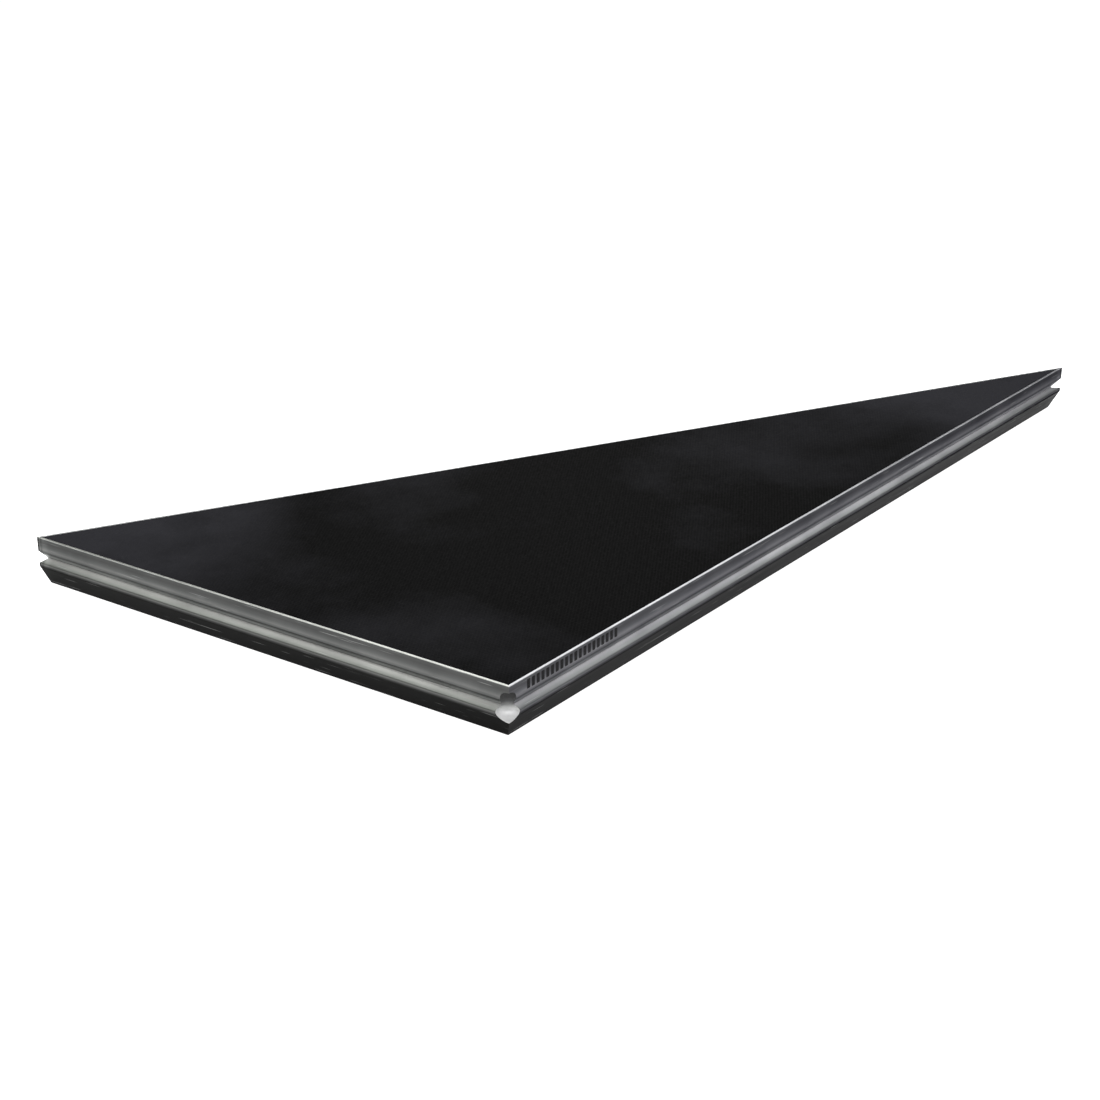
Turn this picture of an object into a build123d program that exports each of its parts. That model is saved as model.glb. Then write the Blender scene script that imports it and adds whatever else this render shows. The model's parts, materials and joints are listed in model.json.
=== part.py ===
from build123d import *
import math
import os

# Triangular stage deck: a plywood top in a frame of three mitred aluminium rails.
# Millimetres, +Z up. The plan triangle has its right angle at FRONT, its sharp tip
# at TIP and its third corner at SIDE. The origin is the middle of the footprint,
# on the surface that the deck stands on.

# Deck
LONG_SIDE = 2000.0        # FRONT to TIP, along +X
SHORT_SIDE = 1000.0       # FRONT to SIDE, along +Y
DECK_HEIGHT = 83.0
PANEL_THICKNESS = 12.0
RIM_WIDTH = 4.0           # bright edge of the rail beside the panel
SEAL_WIDTH = 1.0          # sealant joint between rim and panel
SEAL_BOTTOM = 72.0
SEAL_RECESS = 0.4

# Rail section: depth is measured inwards from the outer face
WALL = 3.0
BODY_DEPTH = 36.0
FLANGE_DEPTH = 50.0
FACE_LOW_Z = 58.0
GROOVE_DEPTH = 8.8
GROOVE_Z = 44.8
NOSE_TOP_Z = 36.2
NOSE_LOW_Z = 30.0
FOOT_INSET = 9.0
# Pear-shaped pocket in the right-angled corner: radius about the corner edge, and height
POCKET_PROFILE = (
    (0, 23.5), (9, 24.3), (17, 27.5), (22.5, 31.5), (25.2, 36.5), (24.6, 41.5), (21.5, 47),
    (18.3, 52.5), (16.8, 58), (16.2, 63), (14, 67), (10, 70), (5, 71.6), (0, 72),
)

# Corner keys inside the rails
KEY_GAP = 0.1
KEY_WALL = 6.0
KEY_ARM = {"square": 90.0, "side": 125.0, "tip": 215.0}
KEY_CORE_START = {"square": 42.0, "side": 66.0, "tip": 150.0}
KEY_SCREW_STEP = 24.0
KEY_SCREW_DEPTH = 22.0    # inwards from the outer face
KEY_SCREW_RADIUS = 3.0
KEY_SCREW_HEAD = 5.8
KEY_SCREW_TOP = 20.0
KEY_SCREW_RECESS = 0.3    # below the rail's underside
KEY_SCREW_SOCKET = 2.3

# Leg sockets for 48.3 mm tube
SOCKET_BORE = 24.5
SOCKET_WALL = 6.5
SOCKET_FACE_GAP = 2.0     # from the collar to the rail's inner face
SOCKET_BOTTOM = 5.0
SOCKET_TOP = 67.0
SOCKET_STOP = 61.0        # inner end of the blind bore
MOUTH_CHAMFER = 1.5
PLATE_THICKNESS = 6.0
PLATE_REACH = 58.0        # each way from the collar's foot point
SHELF_THICKNESS = 5.0

# Clamp: a screw pushes a shoe against the leg
CLAMP_Z = 35.0
SHOE_WIDTH = 24.0
SHOE_HEIGHT = 30.0
SHOE_GAP = 0.12
SHOE_BACK = 41.0          # from the bore's axis, as are the next six
SLOT_BACK = 46.5
BOSS_BACK = 64.5
SHOE_STEP = 30.8          # floor of the shoe's counterbore
SPIGOT_TIP = 27.6
SHOULDER = 41.3
HEAD_SEAT = 71.5
BOSS_WIDTH = 40.0
BOSS_HEIGHT = 44.0
SPIGOT_RADIUS = 4.0
SCREW_RADIUS = 6.0        # M12
SCREW_GAP = 0.05
SPIGOT_GAP = 0.1
COUNTERBORE_RADIUS = 7.5
RING_RADIUS = 6.4
RING_THICKNESS = 1.2
RING_FRONT = 29.0
RING_GROOVE = 0.5
HEAD_ACROSS = 18.0
HEAD_HEIGHT = 7.5
HEAD_FLANGE_RADIUS = 12.5
HEAD_FLANGE_THICKNESS = 2.2

# Flanged M8 bolts and their rivet nuts, which hold the sockets to the rails
BOLT_RADIUS = 4.0
BOLT_ACROSS = 13.0
BOLT_HEAD = 6.5
BOLT_FLANGE_RADIUS = 8.5
BOLT_FLANGE = 1.5
BOLT_END = 20.0           # inwards from the outer face
BOLT_OFFSET = 46.0        # from the collar's foot point
BOLT_HEIGHTS = (20.0, 52.0)
PLATE_HOLE = 4.5
NUT_RADIUS = 5.5
NUT_BULGE = 7.0
NUT_END = 23.0
NUT_GAP = 0.05

# Crossbars of hat section, parallel to the short side
CROSSBAR_X = {"wide": 480.0, "middle": 960.0, "narrow": 1440.0}
HAT_WIDTH = 40.0
HAT_FLANGE = 15.0
HAT_BOTTOM = 26.0
FLANGE_GAP = 0.2
CLEAT_LEG = 42.0
CLEAT_THICKNESS = 4.0
CLEAT_BOTTOM = 28.0
CLEAT_TOP = 62.0
RIVET_RADIUS = 3.2
RIVET_GAP = 0.05
RIVET_HEAD = 6.5
RIVET_HEAD_HEIGHT = 2.0
RIVET_TAIL = 4.6
RIVET_TAIL_LENGTH = 5.0
RIVET_INSETS = (26.0,)    # along a cleat's leg, from its corner
RIVET_HEIGHTS = (36.0, 54.0)

# Screws that hold the panel down, driven up through the flanges
SCREW_SHANK = 2.4
SCREW_HEAD_RADIUS = 4.8
SCREW_HEAD_HEIGHT = 2.8
SCREW_LENGTH = 13.0
SCREW_END_MARGIN = 80.0   # past a socket's foot point
FLANGE_CENTRE = 43.0
CROSSBAR_SCREW_INSET = 30.0

LEDGE_Z = DECK_HEIGHT - PANEL_THICKNESS
FLANGE_Z = LEDGE_Z - WALL
FAR = 4000.0


def unit(x, y):
    """The plan vector (x, y) at length one."""
    length = math.hypot(x, y)
    return x / length, y / length


class Rail:
    """A straight side of the deck, with the deck on the left of its direction."""

    def __init__(self, start, end):
        self.start, self.end = start, end
        self.along = unit(end[0] - start[0], end[1] - start[1])
        self.inward = (-self.along[1], self.along[0])
        self.length = math.dist(start, end)

    def point(self, s, d):
        """Plan point at s along the side and d inwards from its outer face."""
        return tuple(self.start[i] + s * self.along[i] + d * self.inward[i] for i in (0, 1))

    def section_plane(self, s):
        """Plane across the rail: local x runs inwards, local y runs up."""
        return Plane(origin=(*self.point(s, 0), 0), x_dir=(*self.inward, 0), z_dir=(*self.along, 0))

    def extrusion(self, section, s0, s1):
        """A depth-and-height section carried along the side from s0 to s1."""
        return extrude(self.section_plane(s0) * section, s1 - s0, dir=(*self.along, 0))

    def block(self, s0, s1, d0, d1, z0, z1):
        """A box from s0 to s1 along the side, d0 to d1 inwards and z0 to z1 up."""
        section = Pos((d0 + d1) / 2, (z0 + z1) / 2) * Rectangle(d1 - d0, z1 - z0)
        return self.extrusion(section, s0, s1)

    def into(self, s, z, d):
        """Plane at depth d whose normal points inwards, for bolts through the inner wall."""
        return Plane(origin=(*self.point(s, d), z), x_dir=(*self.along, 0), z_dir=(*self.inward, 0))


FRONT = (-LONG_SIDE / 2, -SHORT_SIDE / 2)
TIP = (LONG_SIDE / 2, -SHORT_SIDE / 2)
SIDE = (-LONG_SIDE / 2, SHORT_SIDE / 2)
RAILS = {"long": Rail(FRONT, TIP), "diagonal": Rail(TIP, SIDE), "short": Rail(SIDE, FRONT)}
PERIMETER = sum(rail.length for rail in RAILS.values())
INRADIUS = LONG_SIDE * SHORT_SIDE / PERIMETER
INCENTRE = (FRONT[0] + INRADIUS, FRONT[1] + INRADIUS)

# Each corner: its point, the rail that arrives and the rail that leaves
CORNERS = {
    "square": (FRONT, RAILS["short"], RAILS["long"]),
    "tip": (TIP, RAILS["long"], RAILS["diagonal"]),
    "side": (SIDE, RAILS["diagonal"], RAILS["short"]),
}


def write(shape, name):
    """One STEP file for one named piece, or for one group of like fasteners."""
    export_step(shape, f"parts/{name}.step")


def inset_triangle(inset):
    """The plan triangle moved in by inset: it shrinks towards its incentre."""
    share = 1 - inset / INRADIUS
    corners = [
        tuple(INCENTRE[i] + (corner[i] - INCENTRE[i]) * share for i in (0, 1))
        for corner in (FRONT, TIP, SIDE)
    ]
    return make_face(Polyline(*corners, close=True))


def slab(face, z0, z1):
    """A plan outline made solid between two heights."""
    return Pos(0, 0, z0) * extrude(face, z1 - z0, dir=(0, 0, 1))


def mitre_wedge(rail):
    """The part of the plan nearer to this rail than to the others, over all heights."""
    reach = [
        tuple(INCENTRE[i] + (corner[i] - INCENTRE[i]) * 1.2 for i in (0, 1))
        for corner in (rail.start, rail.end)
    ]
    return slab(make_face(Polyline(INCENTRE, *reach, close=True)), -FAR, FAR)


def body_outline():
    """The hollow part of the rail section, with its side groove and leaning foot."""
    return make_face(
        FilletPolyline(
            (0, LEDGE_Z), (0, FACE_LOW_Z), (GROOVE_DEPTH, GROOVE_Z), (0, NOSE_TOP_Z),
            (0, NOSE_LOW_Z), (FOOT_INSET, 0), (BODY_DEPTH, 0), (BODY_DEPTH, LEDGE_Z),
            radius=[0.01, 1.0, 2.0, 3.0, 10.0, 1.0, 1.0, 0.01], close=True,
        )
    )


def chamber_outline(inset):
    """The rail's hollow, drawn in from the body's outline by an even wall."""
    return offset(
        make_face(
            Polyline(
                (0, LEDGE_Z), (0, FACE_LOW_Z), (GROOVE_DEPTH, GROOVE_Z), (0, NOSE_TOP_Z),
                (0, NOSE_LOW_Z), (FOOT_INSET, 0), (BODY_DEPTH, 0), (BODY_DEPTH, LEDGE_Z),
                close=True,
            )
        ),
        amount=-inset, kind=Kind.INTERSECTION,
    )


def rail_section():
    """Body, rim beside the panel and flange under it, less the hollow."""
    rim = Pos(RIM_WIDTH / 2, (LEDGE_Z + DECK_HEIGHT) / 2) * Rectangle(
        RIM_WIDTH, DECK_HEIGHT - LEDGE_Z
    )
    rim = fillet(rim.vertices().sort_by(Axis.Y)[2:], 0.6)
    flange = Pos((BODY_DEPTH + FLANGE_DEPTH) / 2, LEDGE_Z - WALL / 2) * Rectangle(
        FLANGE_DEPTH - BODY_DEPTH, WALL
    )
    square_top = Pos(BODY_DEPTH / 2, LEDGE_Z - WALL / 2) * Rectangle(BODY_DEPTH, WALL)
    return body_outline() + square_top + rim + flange - chamber_outline(WALL)


def foot_distance(name):
    """Along either rail, from a corner to the point beside its leg socket's axis."""
    depth = BODY_DEPTH + SOCKET_FACE_GAP + SOCKET_BORE + SOCKET_WALL
    return depth / math.tan(corner_angle(name) / 2)


def corner_angle(name):
    """The plan angle between the two rails at a corner."""
    _, arriving, leaving = CORNERS[name]
    back = (-arriving.along[0], -arriving.along[1])
    return math.acos(back[0] * leaving.along[0] + back[1] * leaving.along[1])


def corner_stations(name, distance):
    """The two rails at a corner, with the place on each at a distance from it."""
    _, arriving, leaving = CORNERS[name]
    return [(arriving, arriving.length - distance, 1), (leaving, distance, -1)]


def cup():
    """What the pocket is cut with: its profile turned about the outer corner edge."""
    curve = Spline(*POCKET_PROFILE, tangents=((1, 0), (-1, 0)))
    half = make_face(Plane.XZ * (curve + Line(POCKET_PROFILE[-1], POCKET_PROFILE[0])))
    return Pos(*FRONT, 0) * revolve(half, Axis.Z)


def socket_place(name):
    """Location of a socket's axis, with local +X pointing into the deck."""
    corner = CORNERS[name][0]
    out = unit(INCENTRE[0] - corner[0], INCENTRE[1] - corner[1])
    depth = BODY_DEPTH + SOCKET_FACE_GAP + SOCKET_BORE + SOCKET_WALL
    distance = depth / math.sin(corner_angle(name) / 2)
    turn = math.degrees(math.atan2(out[1], out[0]))
    return Location((corner[0] + distance * out[0], corner[1] + distance * out[1], 0), (0, 0, turn))


def pole(radius, z0, z1):
    """An upright cylinder about the local Z axis."""
    return Pos(0, 0, (z0 + z1) / 2) * Cylinder(radius, z1 - z0)


def rod(radius, x0, x1):
    """A cylinder about the clamp screw's axis, from x0 to x1."""
    return Pos((x0 + x1) / 2, 0, CLAMP_Z) * Rot(0, 90, 0) * Cylinder(radius, x1 - x0)


def box(x0, x1, width, z0, z1):
    """A box about the local X axis."""
    return Pos((x0 + x1) / 2, 0, (z0 + z1) / 2) * Box(x1 - x0, width, z1 - z0)


def hexagon(across, height, plane):
    """A six-sided prism standing on a plane, with its corners eased off."""
    radius = across / math.sqrt(3)
    prism = extrude(plane * RegularPolygon(radius, 6), height)
    ease = 0.35 * (radius - across / 2)
    cone = extrude(plane * Circle(radius - ease), height)
    cone = chamfer(cone.edges().filter_by(GeomType.CIRCLE).sort_by(
        lambda edge: (edge.arc_center - plane.origin).dot(plane.z_dir))[-1], 0.8)
    return prism & cone


def clamp_shoe():
    """The block that the screw pushes, hollowed to the leg's round on its front."""
    shoe = box(0, SHOE_BACK, SHOE_WIDTH - 2 * SHOE_GAP,
               CLAMP_Z - SHOE_HEIGHT / 2 + SHOE_GAP, CLAMP_Z + SHOE_HEIGHT / 2 - SHOE_GAP)
    shoe -= pole(SOCKET_BORE + 0.3, 0, DECK_HEIGHT)
    shoe -= rod(SPIGOT_RADIUS + SPIGOT_GAP, 0, BOSS_BACK)
    return shoe - rod(COUNTERBORE_RADIUS, 0, SHOE_STEP)


def clamp_bolt():
    """Flanged hexagon screw with a spigot that carries the shoe."""
    bolt = rod(SPIGOT_RADIUS, SPIGOT_TIP, SHOULDER) + rod(SCREW_RADIUS, SHOULDER, HEAD_SEAT)
    bolt -= rod(SPIGOT_RADIUS + 1, RING_FRONT, RING_FRONT + RING_THICKNESS) - rod(
        SPIGOT_RADIUS - RING_GROOVE, 0, SHOULDER)
    bolt += rod(HEAD_FLANGE_RADIUS, HEAD_SEAT, HEAD_SEAT + HEAD_FLANGE_THICKNESS)
    head = Plane(origin=(HEAD_SEAT + HEAD_FLANGE_THICKNESS, 0, CLAMP_Z), x_dir=(0, 1, 0),
                 z_dir=(1, 0, 0))
    return bolt + hexagon(HEAD_ACROSS, HEAD_HEIGHT, head)


def clamp_ring():
    """Open retaining ring in the spigot's groove."""
    ring = rod(RING_RADIUS, RING_FRONT + 0.05, RING_FRONT + RING_THICKNESS - 0.05)
    ring -= rod(SPIGOT_RADIUS - RING_GROOVE + 0.05, 0, SHOULDER)
    return ring - box(0, SHOULDER, 3.0, 0, CLAMP_Z)


def leg_socket(name):
    """Cast collar with a stopped bore, two wall plates, shelves and the screw's boss."""
    place = socket_place(name)
    foot = foot_distance(name)
    body = place * (
        pole(SOCKET_BORE + SOCKET_WALL, SOCKET_BOTTOM, SOCKET_TOP)
        + box(0, BOSS_BACK, BOSS_WIDTH, CLAMP_Z - BOSS_HEIGHT / 2, CLAMP_Z + BOSS_HEIGHT / 2)
    )
    inner_corner = BODY_DEPTH / math.tan(corner_angle(name) / 2)
    near = max(foot - PLATE_REACH, inner_corner)
    for rail, _, side in corner_stations(name, foot):
        ends = sorted(rail.length - x if side == 1 else x for x in (near, foot + PLATE_REACH))
        inside = BODY_DEPTH + PLATE_THICKNESS
        body += rail.block(*ends, BODY_DEPTH, inside, SOCKET_BOTTOM, SOCKET_TOP)
        web = make_face(Polyline(
            rail.point(ends[0], inside - 1), rail.point(ends[1], inside - 1),
            tuple(place.position)[:2], close=True))
        body += slab(web, SOCKET_BOTTOM, SOCKET_BOTTOM + SHELF_THICKNESS)
        body += slab(web, SOCKET_TOP - SHELF_THICKNESS, SOCKET_TOP)
    for rail in CORNERS[name][1:]:
        body -= rail.block(-FAR, FAR, -FAR, BODY_DEPTH, 0, DECK_HEIGHT)
    body -= place * pole(SOCKET_BORE, SOCKET_BOTTOM - 1, SOCKET_STOP)
    mouth = SOCKET_BORE + MOUTH_CHAMFER
    body -= place * (
        Pos(0, 0, SOCKET_BOTTOM + MOUTH_CHAMFER / 2)
        * Cone(mouth, SOCKET_BORE, MOUTH_CHAMFER)
    )
    body -= place * box(0, SLOT_BACK, SHOE_WIDTH, CLAMP_Z - SHOE_HEIGHT / 2,
                        CLAMP_Z + SHOE_HEIGHT / 2)
    body -= place * rod(SCREW_RADIUS + SCREW_GAP, 0, BOSS_BACK + 1)
    for plane in socket_bolt_planes(name):
        body -= extrude(plane * Circle(PLATE_HOLE), PLATE_THICKNESS + 20)
    return body


def socket_bolt_planes(name):
    """Where a socket's bolts cross the rails' inner faces, with normals inwards."""
    planes = []
    for rail, s, _ in corner_stations(name, foot_distance(name) + BOLT_OFFSET):
        planes += [rail.into(s, z, BODY_DEPTH) for z in BOLT_HEIGHTS]
    return planes


def shifted(plane, amount):
    """A parallel plane, moved along the normal."""
    return Plane(origin=plane.origin + plane.z_dir * amount, x_dir=plane.x_dir, z_dir=plane.z_dir)


def socket_bolt(plane):
    """Flanged M8 bolt through a plate, from inside the deck."""
    seat = shifted(plane, PLATE_THICKNESS)
    shank = extrude(seat * Circle(BOLT_RADIUS), BOLT_END - BODY_DEPTH - PLATE_THICKNESS)
    flange = extrude(seat * Circle(BOLT_FLANGE_RADIUS), BOLT_FLANGE)
    return shank + flange + hexagon(BOLT_ACROSS, BOLT_HEAD, shifted(seat, BOLT_FLANGE))


def rivet_nut(plane):
    """Threaded insert set in the rail's inner wall, swollen behind it."""
    sleeve = extrude(plane * Circle(NUT_RADIUS), NUT_END - BODY_DEPTH)
    bulge = extrude(shifted(plane, -WALL) * Circle(NUT_BULGE), -NUT_GAP - WALL)
    bore = extrude(plane * Circle(BOLT_RADIUS + NUT_GAP), -BODY_DEPTH)
    return sleeve + bulge - bore


def key_screw_points(name):
    """Plan points of the screws up through the rails' bottom walls into a key."""
    points = []
    for k in (1, 2):
        distance = KEY_ARM[name] + 8 - k * KEY_SCREW_STEP
        points += [rail.point(s, KEY_SCREW_DEPTH) for rail, s, _ in corner_stations(name, distance)]
    return points


def key_screw(point):
    """Countersunk M6 socket screw, flush with the rail's underside."""
    head = Pos(0, 0, (KEY_SCREW_RECESS + WALL) / 2) * Cone(
        KEY_SCREW_HEAD, KEY_SCREW_RADIUS, WALL - KEY_SCREW_RECESS)
    socket = slab(RegularPolygon(KEY_SCREW_SOCKET, 6), 0, KEY_SCREW_RECESS + 1.8)
    shank = pole(KEY_SCREW_RADIUS, WALL - 1, KEY_SCREW_TOP)
    return Pos(*point, 0) * (head + shank - socket)


def key_screw_hole(point):
    """Countersunk hole in the rail's bottom wall."""
    sink = Pos(0, 0, 1.5) * Cone(KEY_SCREW_HEAD + 0.55, KEY_SCREW_RADIUS + 0.3, 3.4)
    return Pos(*point, 0) * (sink + pole(KEY_SCREW_RADIUS + 0.3, 0, 2 * WALL))


def corner_key(name):
    """Cast corner piece: an arm in each rail, cored from its open ends."""
    arms = []
    for rail, s, side in corner_stations(name, KEY_ARM[name]):
        ends = sorted((s, s + side * (KEY_ARM[name] + 100)))
        arm = rail.extrusion(chamber_outline(WALL + KEY_GAP), *ends) & mitre_wedge(rail)
        core_end = s + side * (KEY_ARM[name] - KEY_CORE_START[name])
        core = sorted((s - side, core_end))
        arms.append(arm - rail.extrusion(chamber_outline(WALL + KEY_GAP + KEY_WALL), *core))
    key = arms[0] + arms[1]
    for point in key_screw_points(name):
        key -= Pos(*point, 0) * pole(KEY_SCREW_RADIUS + 0.05, 0, KEY_SCREW_TOP + 1)
    return key


def hat_section():
    """Crossbar section across X and Z: a deep channel with a flange on each side."""
    half, flange, wall = HAT_WIDTH / 2, HAT_WIDTH / 2 + HAT_FLANGE, WALL
    inner = half - wall
    return make_face(Polyline(
        (-flange, LEDGE_Z), (-flange, FLANGE_Z), (-half, FLANGE_Z), (-half, HAT_BOTTOM),
        (half, HAT_BOTTOM), (half, FLANGE_Z), (flange, FLANGE_Z), (flange, LEDGE_Z),
        (inner, LEDGE_Z), (inner, HAT_BOTTOM + wall), (-inner, HAT_BOTTOM + wall),
        (-inner, LEDGE_Z), close=True,
    ))


def crossbar_axis(name):
    """The crossbar's centre line across the deck, as an X in the deck's frame."""
    return FRONT[0] + CROSSBAR_X[name]


def crossbar(name):
    """Hat-section bar between the long rail and the diagonal rail."""
    plane = Plane(origin=(crossbar_axis(name), FRONT[1], 0), x_dir=(-1, 0, 0), z_dir=(0, 1, 0))
    bar = extrude(plane * hat_section(), SHORT_SIDE)
    for rail in (RAILS["long"], RAILS["diagonal"]):
        bar -= rail.block(-100, rail.length + 100, -FAR, BODY_DEPTH, -1, DECK_HEIGHT)
        bar -= rail.block(-100, rail.length + 100, -FAR, FLANGE_DEPTH + FLANGE_GAP, FLANGE_Z,
                          DECK_HEIGHT)
    return bar


def crossing(rail, x, depth):
    """Distance along a rail at which the line of constant X meets a depth."""
    return (x - rail.start[0] - depth * rail.inward[0]) / rail.along[0]


class Cleat:
    """Bent bracket from a crossbar's tip-side wall to a rail's inner face."""

    def __init__(self, name, rail):
        x = crossbar_axis(name) + HAT_WIDTH / 2
        self.corner = rail.point(crossing(rail, x, BODY_DEPTH), BODY_DEPTH)
        on_long = rail is RAILS["long"]
        self.on_bar = (0.0, 1.0) if on_long else (0.0, -1.0)
        self.on_rail = rail.along if on_long else (-rail.along[0], -rail.along[1])
        self.bar_inward = (1.0, 0.0)
        self.rail_inward = rail.inward

    def place(self, base, normal, inset, z):
        """Plane on a leg's open face, whose normal points off the wall it lies on."""
        origin = [self.corner[i] + inset * base[i] + CLEAT_THICKNESS * normal[i] for i in (0, 1)]
        return Plane(origin=(*origin, z), x_dir=(*base, 0), z_dir=(*normal, 0))

    def rivet_planes(self):
        """The planes that the rivet heads sit on."""
        legs = ((self.on_bar, self.bar_inward), (self.on_rail, self.rail_inward))
        return [self.place(base, normal, inset, z)
                for base, normal in legs for inset in RIVET_INSETS for z in RIVET_HEIGHTS]

    def solid(self):
        """Two legs of one thickness that meet along the corner."""
        dot = self.on_bar[0] * self.on_rail[0] + self.on_bar[1] * self.on_rail[1]
        reach = CLEAT_THICKNESS / math.sqrt(1 - dot * dot)

        def at(bar, rail):
            return tuple(self.corner[i] + bar * self.on_bar[i] + rail * self.on_rail[i]
                         for i in (0, 1))

        def off(point, normal):
            return tuple(point[i] + CLEAT_THICKNESS * normal[i] for i in (0, 1))

        outline = Polyline(
            at(0, 0), at(CLEAT_LEG, 0), off(at(CLEAT_LEG, 0), self.bar_inward),
            at(reach, reach), off(at(0, CLEAT_LEG), self.rail_inward), at(0, CLEAT_LEG),
            close=True)
        return slab(make_face(outline), CLEAT_BOTTOM, CLEAT_TOP)


def rivet_hole(plane):
    """The hole for a rivet, through a cleat and the wall behind it."""
    return extrude(shifted(plane, 1) * Circle(RIVET_RADIUS + RIVET_GAP),
                   -CLEAT_THICKNESS - WALL - 2)


def rivet(plane):
    """Blind rivet: low round head, shank and the swollen tail behind the wall."""
    grip = CLEAT_THICKNESS + WALL
    head = extrude(plane * Circle(RIVET_HEAD), RIVET_HEAD_HEIGHT)
    rim = head.edges().filter_by(GeomType.CIRCLE).sort_by(
        lambda edge: (edge.arc_center - plane.origin).dot(plane.z_dir))[-1]
    head = chamfer(rim, 1.2, 2.6)
    shank = extrude(plane * Circle(RIVET_RADIUS), -grip - 1)
    tail = extrude(shifted(plane, -grip - 0.1) * Circle(RIVET_TAIL), -RIVET_TAIL_LENGTH)
    return head + shank + tail


def panel_screw(point):
    """Pan-head screw driven up through a flange into the panel."""
    seat = FLANGE_Z
    head = pole(SCREW_HEAD_RADIUS, seat - SCREW_HEAD_HEIGHT, seat)
    head = fillet(head.edges().filter_by(GeomType.CIRCLE).sort_by(Axis.Z)[0], 1.6)
    recess = Pos(0, 0, seat - SCREW_HEAD_HEIGHT) * extrude(RegularPolygon(2.0, 6), 1.4)
    shank = pole(SCREW_SHANK, seat - 0.5, seat + SCREW_LENGTH)
    return Pos(*point, 0) * (head + shank - recess)


def flange_hole(point):
    """Clearance hole through a flange."""
    return Pos(*point, 0) * pole(SCREW_SHANK + 0.2, FLANGE_Z - 1, LEDGE_Z + 1)


def pilot_hole(point):
    """Blind hole in the panel's underside."""
    return Pos(*point, 0) * pole(SCREW_SHANK + 0.05, LEDGE_Z - 1, FLANGE_Z + SCREW_LENGTH + 0.3)


def third_points(stops):
    """Each stop at the two ends, and two even steps inside each gap between stops."""
    places = [stops[0], stops[-1]]
    for a, b in zip(stops, stops[1:]):
        places += [a + (b - a) / 3, a + (b - a) * 2 / 3]
    return places


def rail_screw_points(rail):
    """Screws along a rail's flange, clear of the sockets and the crossbars."""
    corner_at = {name: corner for name, (corner, _, _) in CORNERS.items()}
    first = next(foot_distance(n) for n, c in corner_at.items() if c == rail.start)
    last = next(foot_distance(n) for n, c in corner_at.items() if c == rail.end)
    stops = [first + SCREW_END_MARGIN, rail.length - last - SCREW_END_MARGIN]
    if rail is not RAILS["short"]:
        stops += [crossing(rail, crossbar_axis(name), FLANGE_CENTRE) for name in CROSSBAR_X]
    return [rail.point(s, FLANGE_CENTRE) for s in third_points(sorted(stops))]


def crossbar_screw_points(name):
    """Two rows of screws, one in each flange of a crossbar."""
    points = []
    for side in (-1, 1):
        x = crossbar_axis(name) + side * (HAT_WIDTH + HAT_FLANGE) / 2
        ends = []
        for rail in (RAILS["long"], RAILS["diagonal"]):
            ends.append(rail.point(crossing(rail, x, FLANGE_DEPTH), FLANGE_DEPTH)[1])
        low, high = ends[0] + CROSSBAR_SCREW_INSET, ends[1] - CROSSBAR_SCREW_INSET
        points += [(x, y) for y in third_points([low, high])]
    return points


os.makedirs("parts", exist_ok=True)

rail_points = {name: rail_screw_points(rail) for name, rail in RAILS.items()}
bar_points = {name: crossbar_screw_points(name) for name in CROSSBAR_X}
cleats = {
    f"cleat_{name}_{end}": (Cleat(name, rail), name, rail)
    for name in CROSSBAR_X
    for end, rail in (("front", RAILS["long"]), ("back", RAILS["diagonal"]))
}

# Rails: one section, mitred at both ends and drilled for everything fixed to it
section = rail_section()
for name, rail in RAILS.items():
    solid = rail.extrusion(section, -200, rail.length + 200) & mitre_wedge(rail)
    if name != "diagonal":
        solid -= cup()
    holes = [flange_hole(point) for point in rail_points[name]]
    for corner, (_, arriving, leaving) in CORNERS.items():
        if rail is arriving or rail is leaving:
            own = 0 if rail is arriving else 1
            planes = socket_bolt_planes(corner)[2 * own:2 * own + 2]
            holes += [extrude(plane * Circle(NUT_RADIUS + NUT_GAP), -WALL - 1) for plane in planes]
            holes += [key_screw_hole(point) for point in key_screw_points(corner)[own::2]]
    for cleat, _, on in cleats.values():
        if on is rail:
            holes += [rivet_hole(plane) for plane in cleat.rivet_planes()[2:]]
    write(solid - holes, f"{name}_rail")

# Corners: key, socket, clamp and fixings
key_screws = []
for name in CORNERS:
    key = corner_key(name)
    if name == "square":
        key -= cup()
    write(key, f"corner_key_{name}")
    key_screws += [key_screw(point) for point in key_screw_points(name)]
    write(leg_socket(name), f"leg_socket_{name}")
    write(Compound([socket_bolt(p) for p in socket_bolt_planes(name)]), f"socket_bolts_{name}")
    place = socket_place(name)
    write(place * clamp_shoe(), f"clamp_shoe_{name}")
    write(place * clamp_bolt(), f"clamp_bolt_{name}")
    write(place * clamp_ring(), f"clamp_ring_{name}")
    print(name, "socket at", place.position, "turned", place.orientation.Z)
write(Compound(key_screws), "corner_key_screws")
nuts = [rivet_nut(plane) for name in CORNERS for plane in socket_bolt_planes(name)]
write(Compound(nuts), "rivet_nuts")

# Crossbars, their cleats and rivets
rivets = []
for name in CROSSBAR_X:
    bar = crossbar(name)
    holes = [flange_hole(point) for point in bar_points[name]]
    for cleat, owner, _ in cleats.values():
        if owner == name:
            holes += [rivet_hole(plane) for plane in cleat.rivet_planes()[:2]]
    write(bar - holes, f"crossbar_{name}")
for label, (cleat, _, _) in cleats.items():
    planes = cleat.rivet_planes()
    write(cleat.solid() - [rivet_hole(plane) for plane in planes], label)
    rivets += [rivet(plane) for plane in planes]
write(Compound(rivets), "cleat_rivets")

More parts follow.
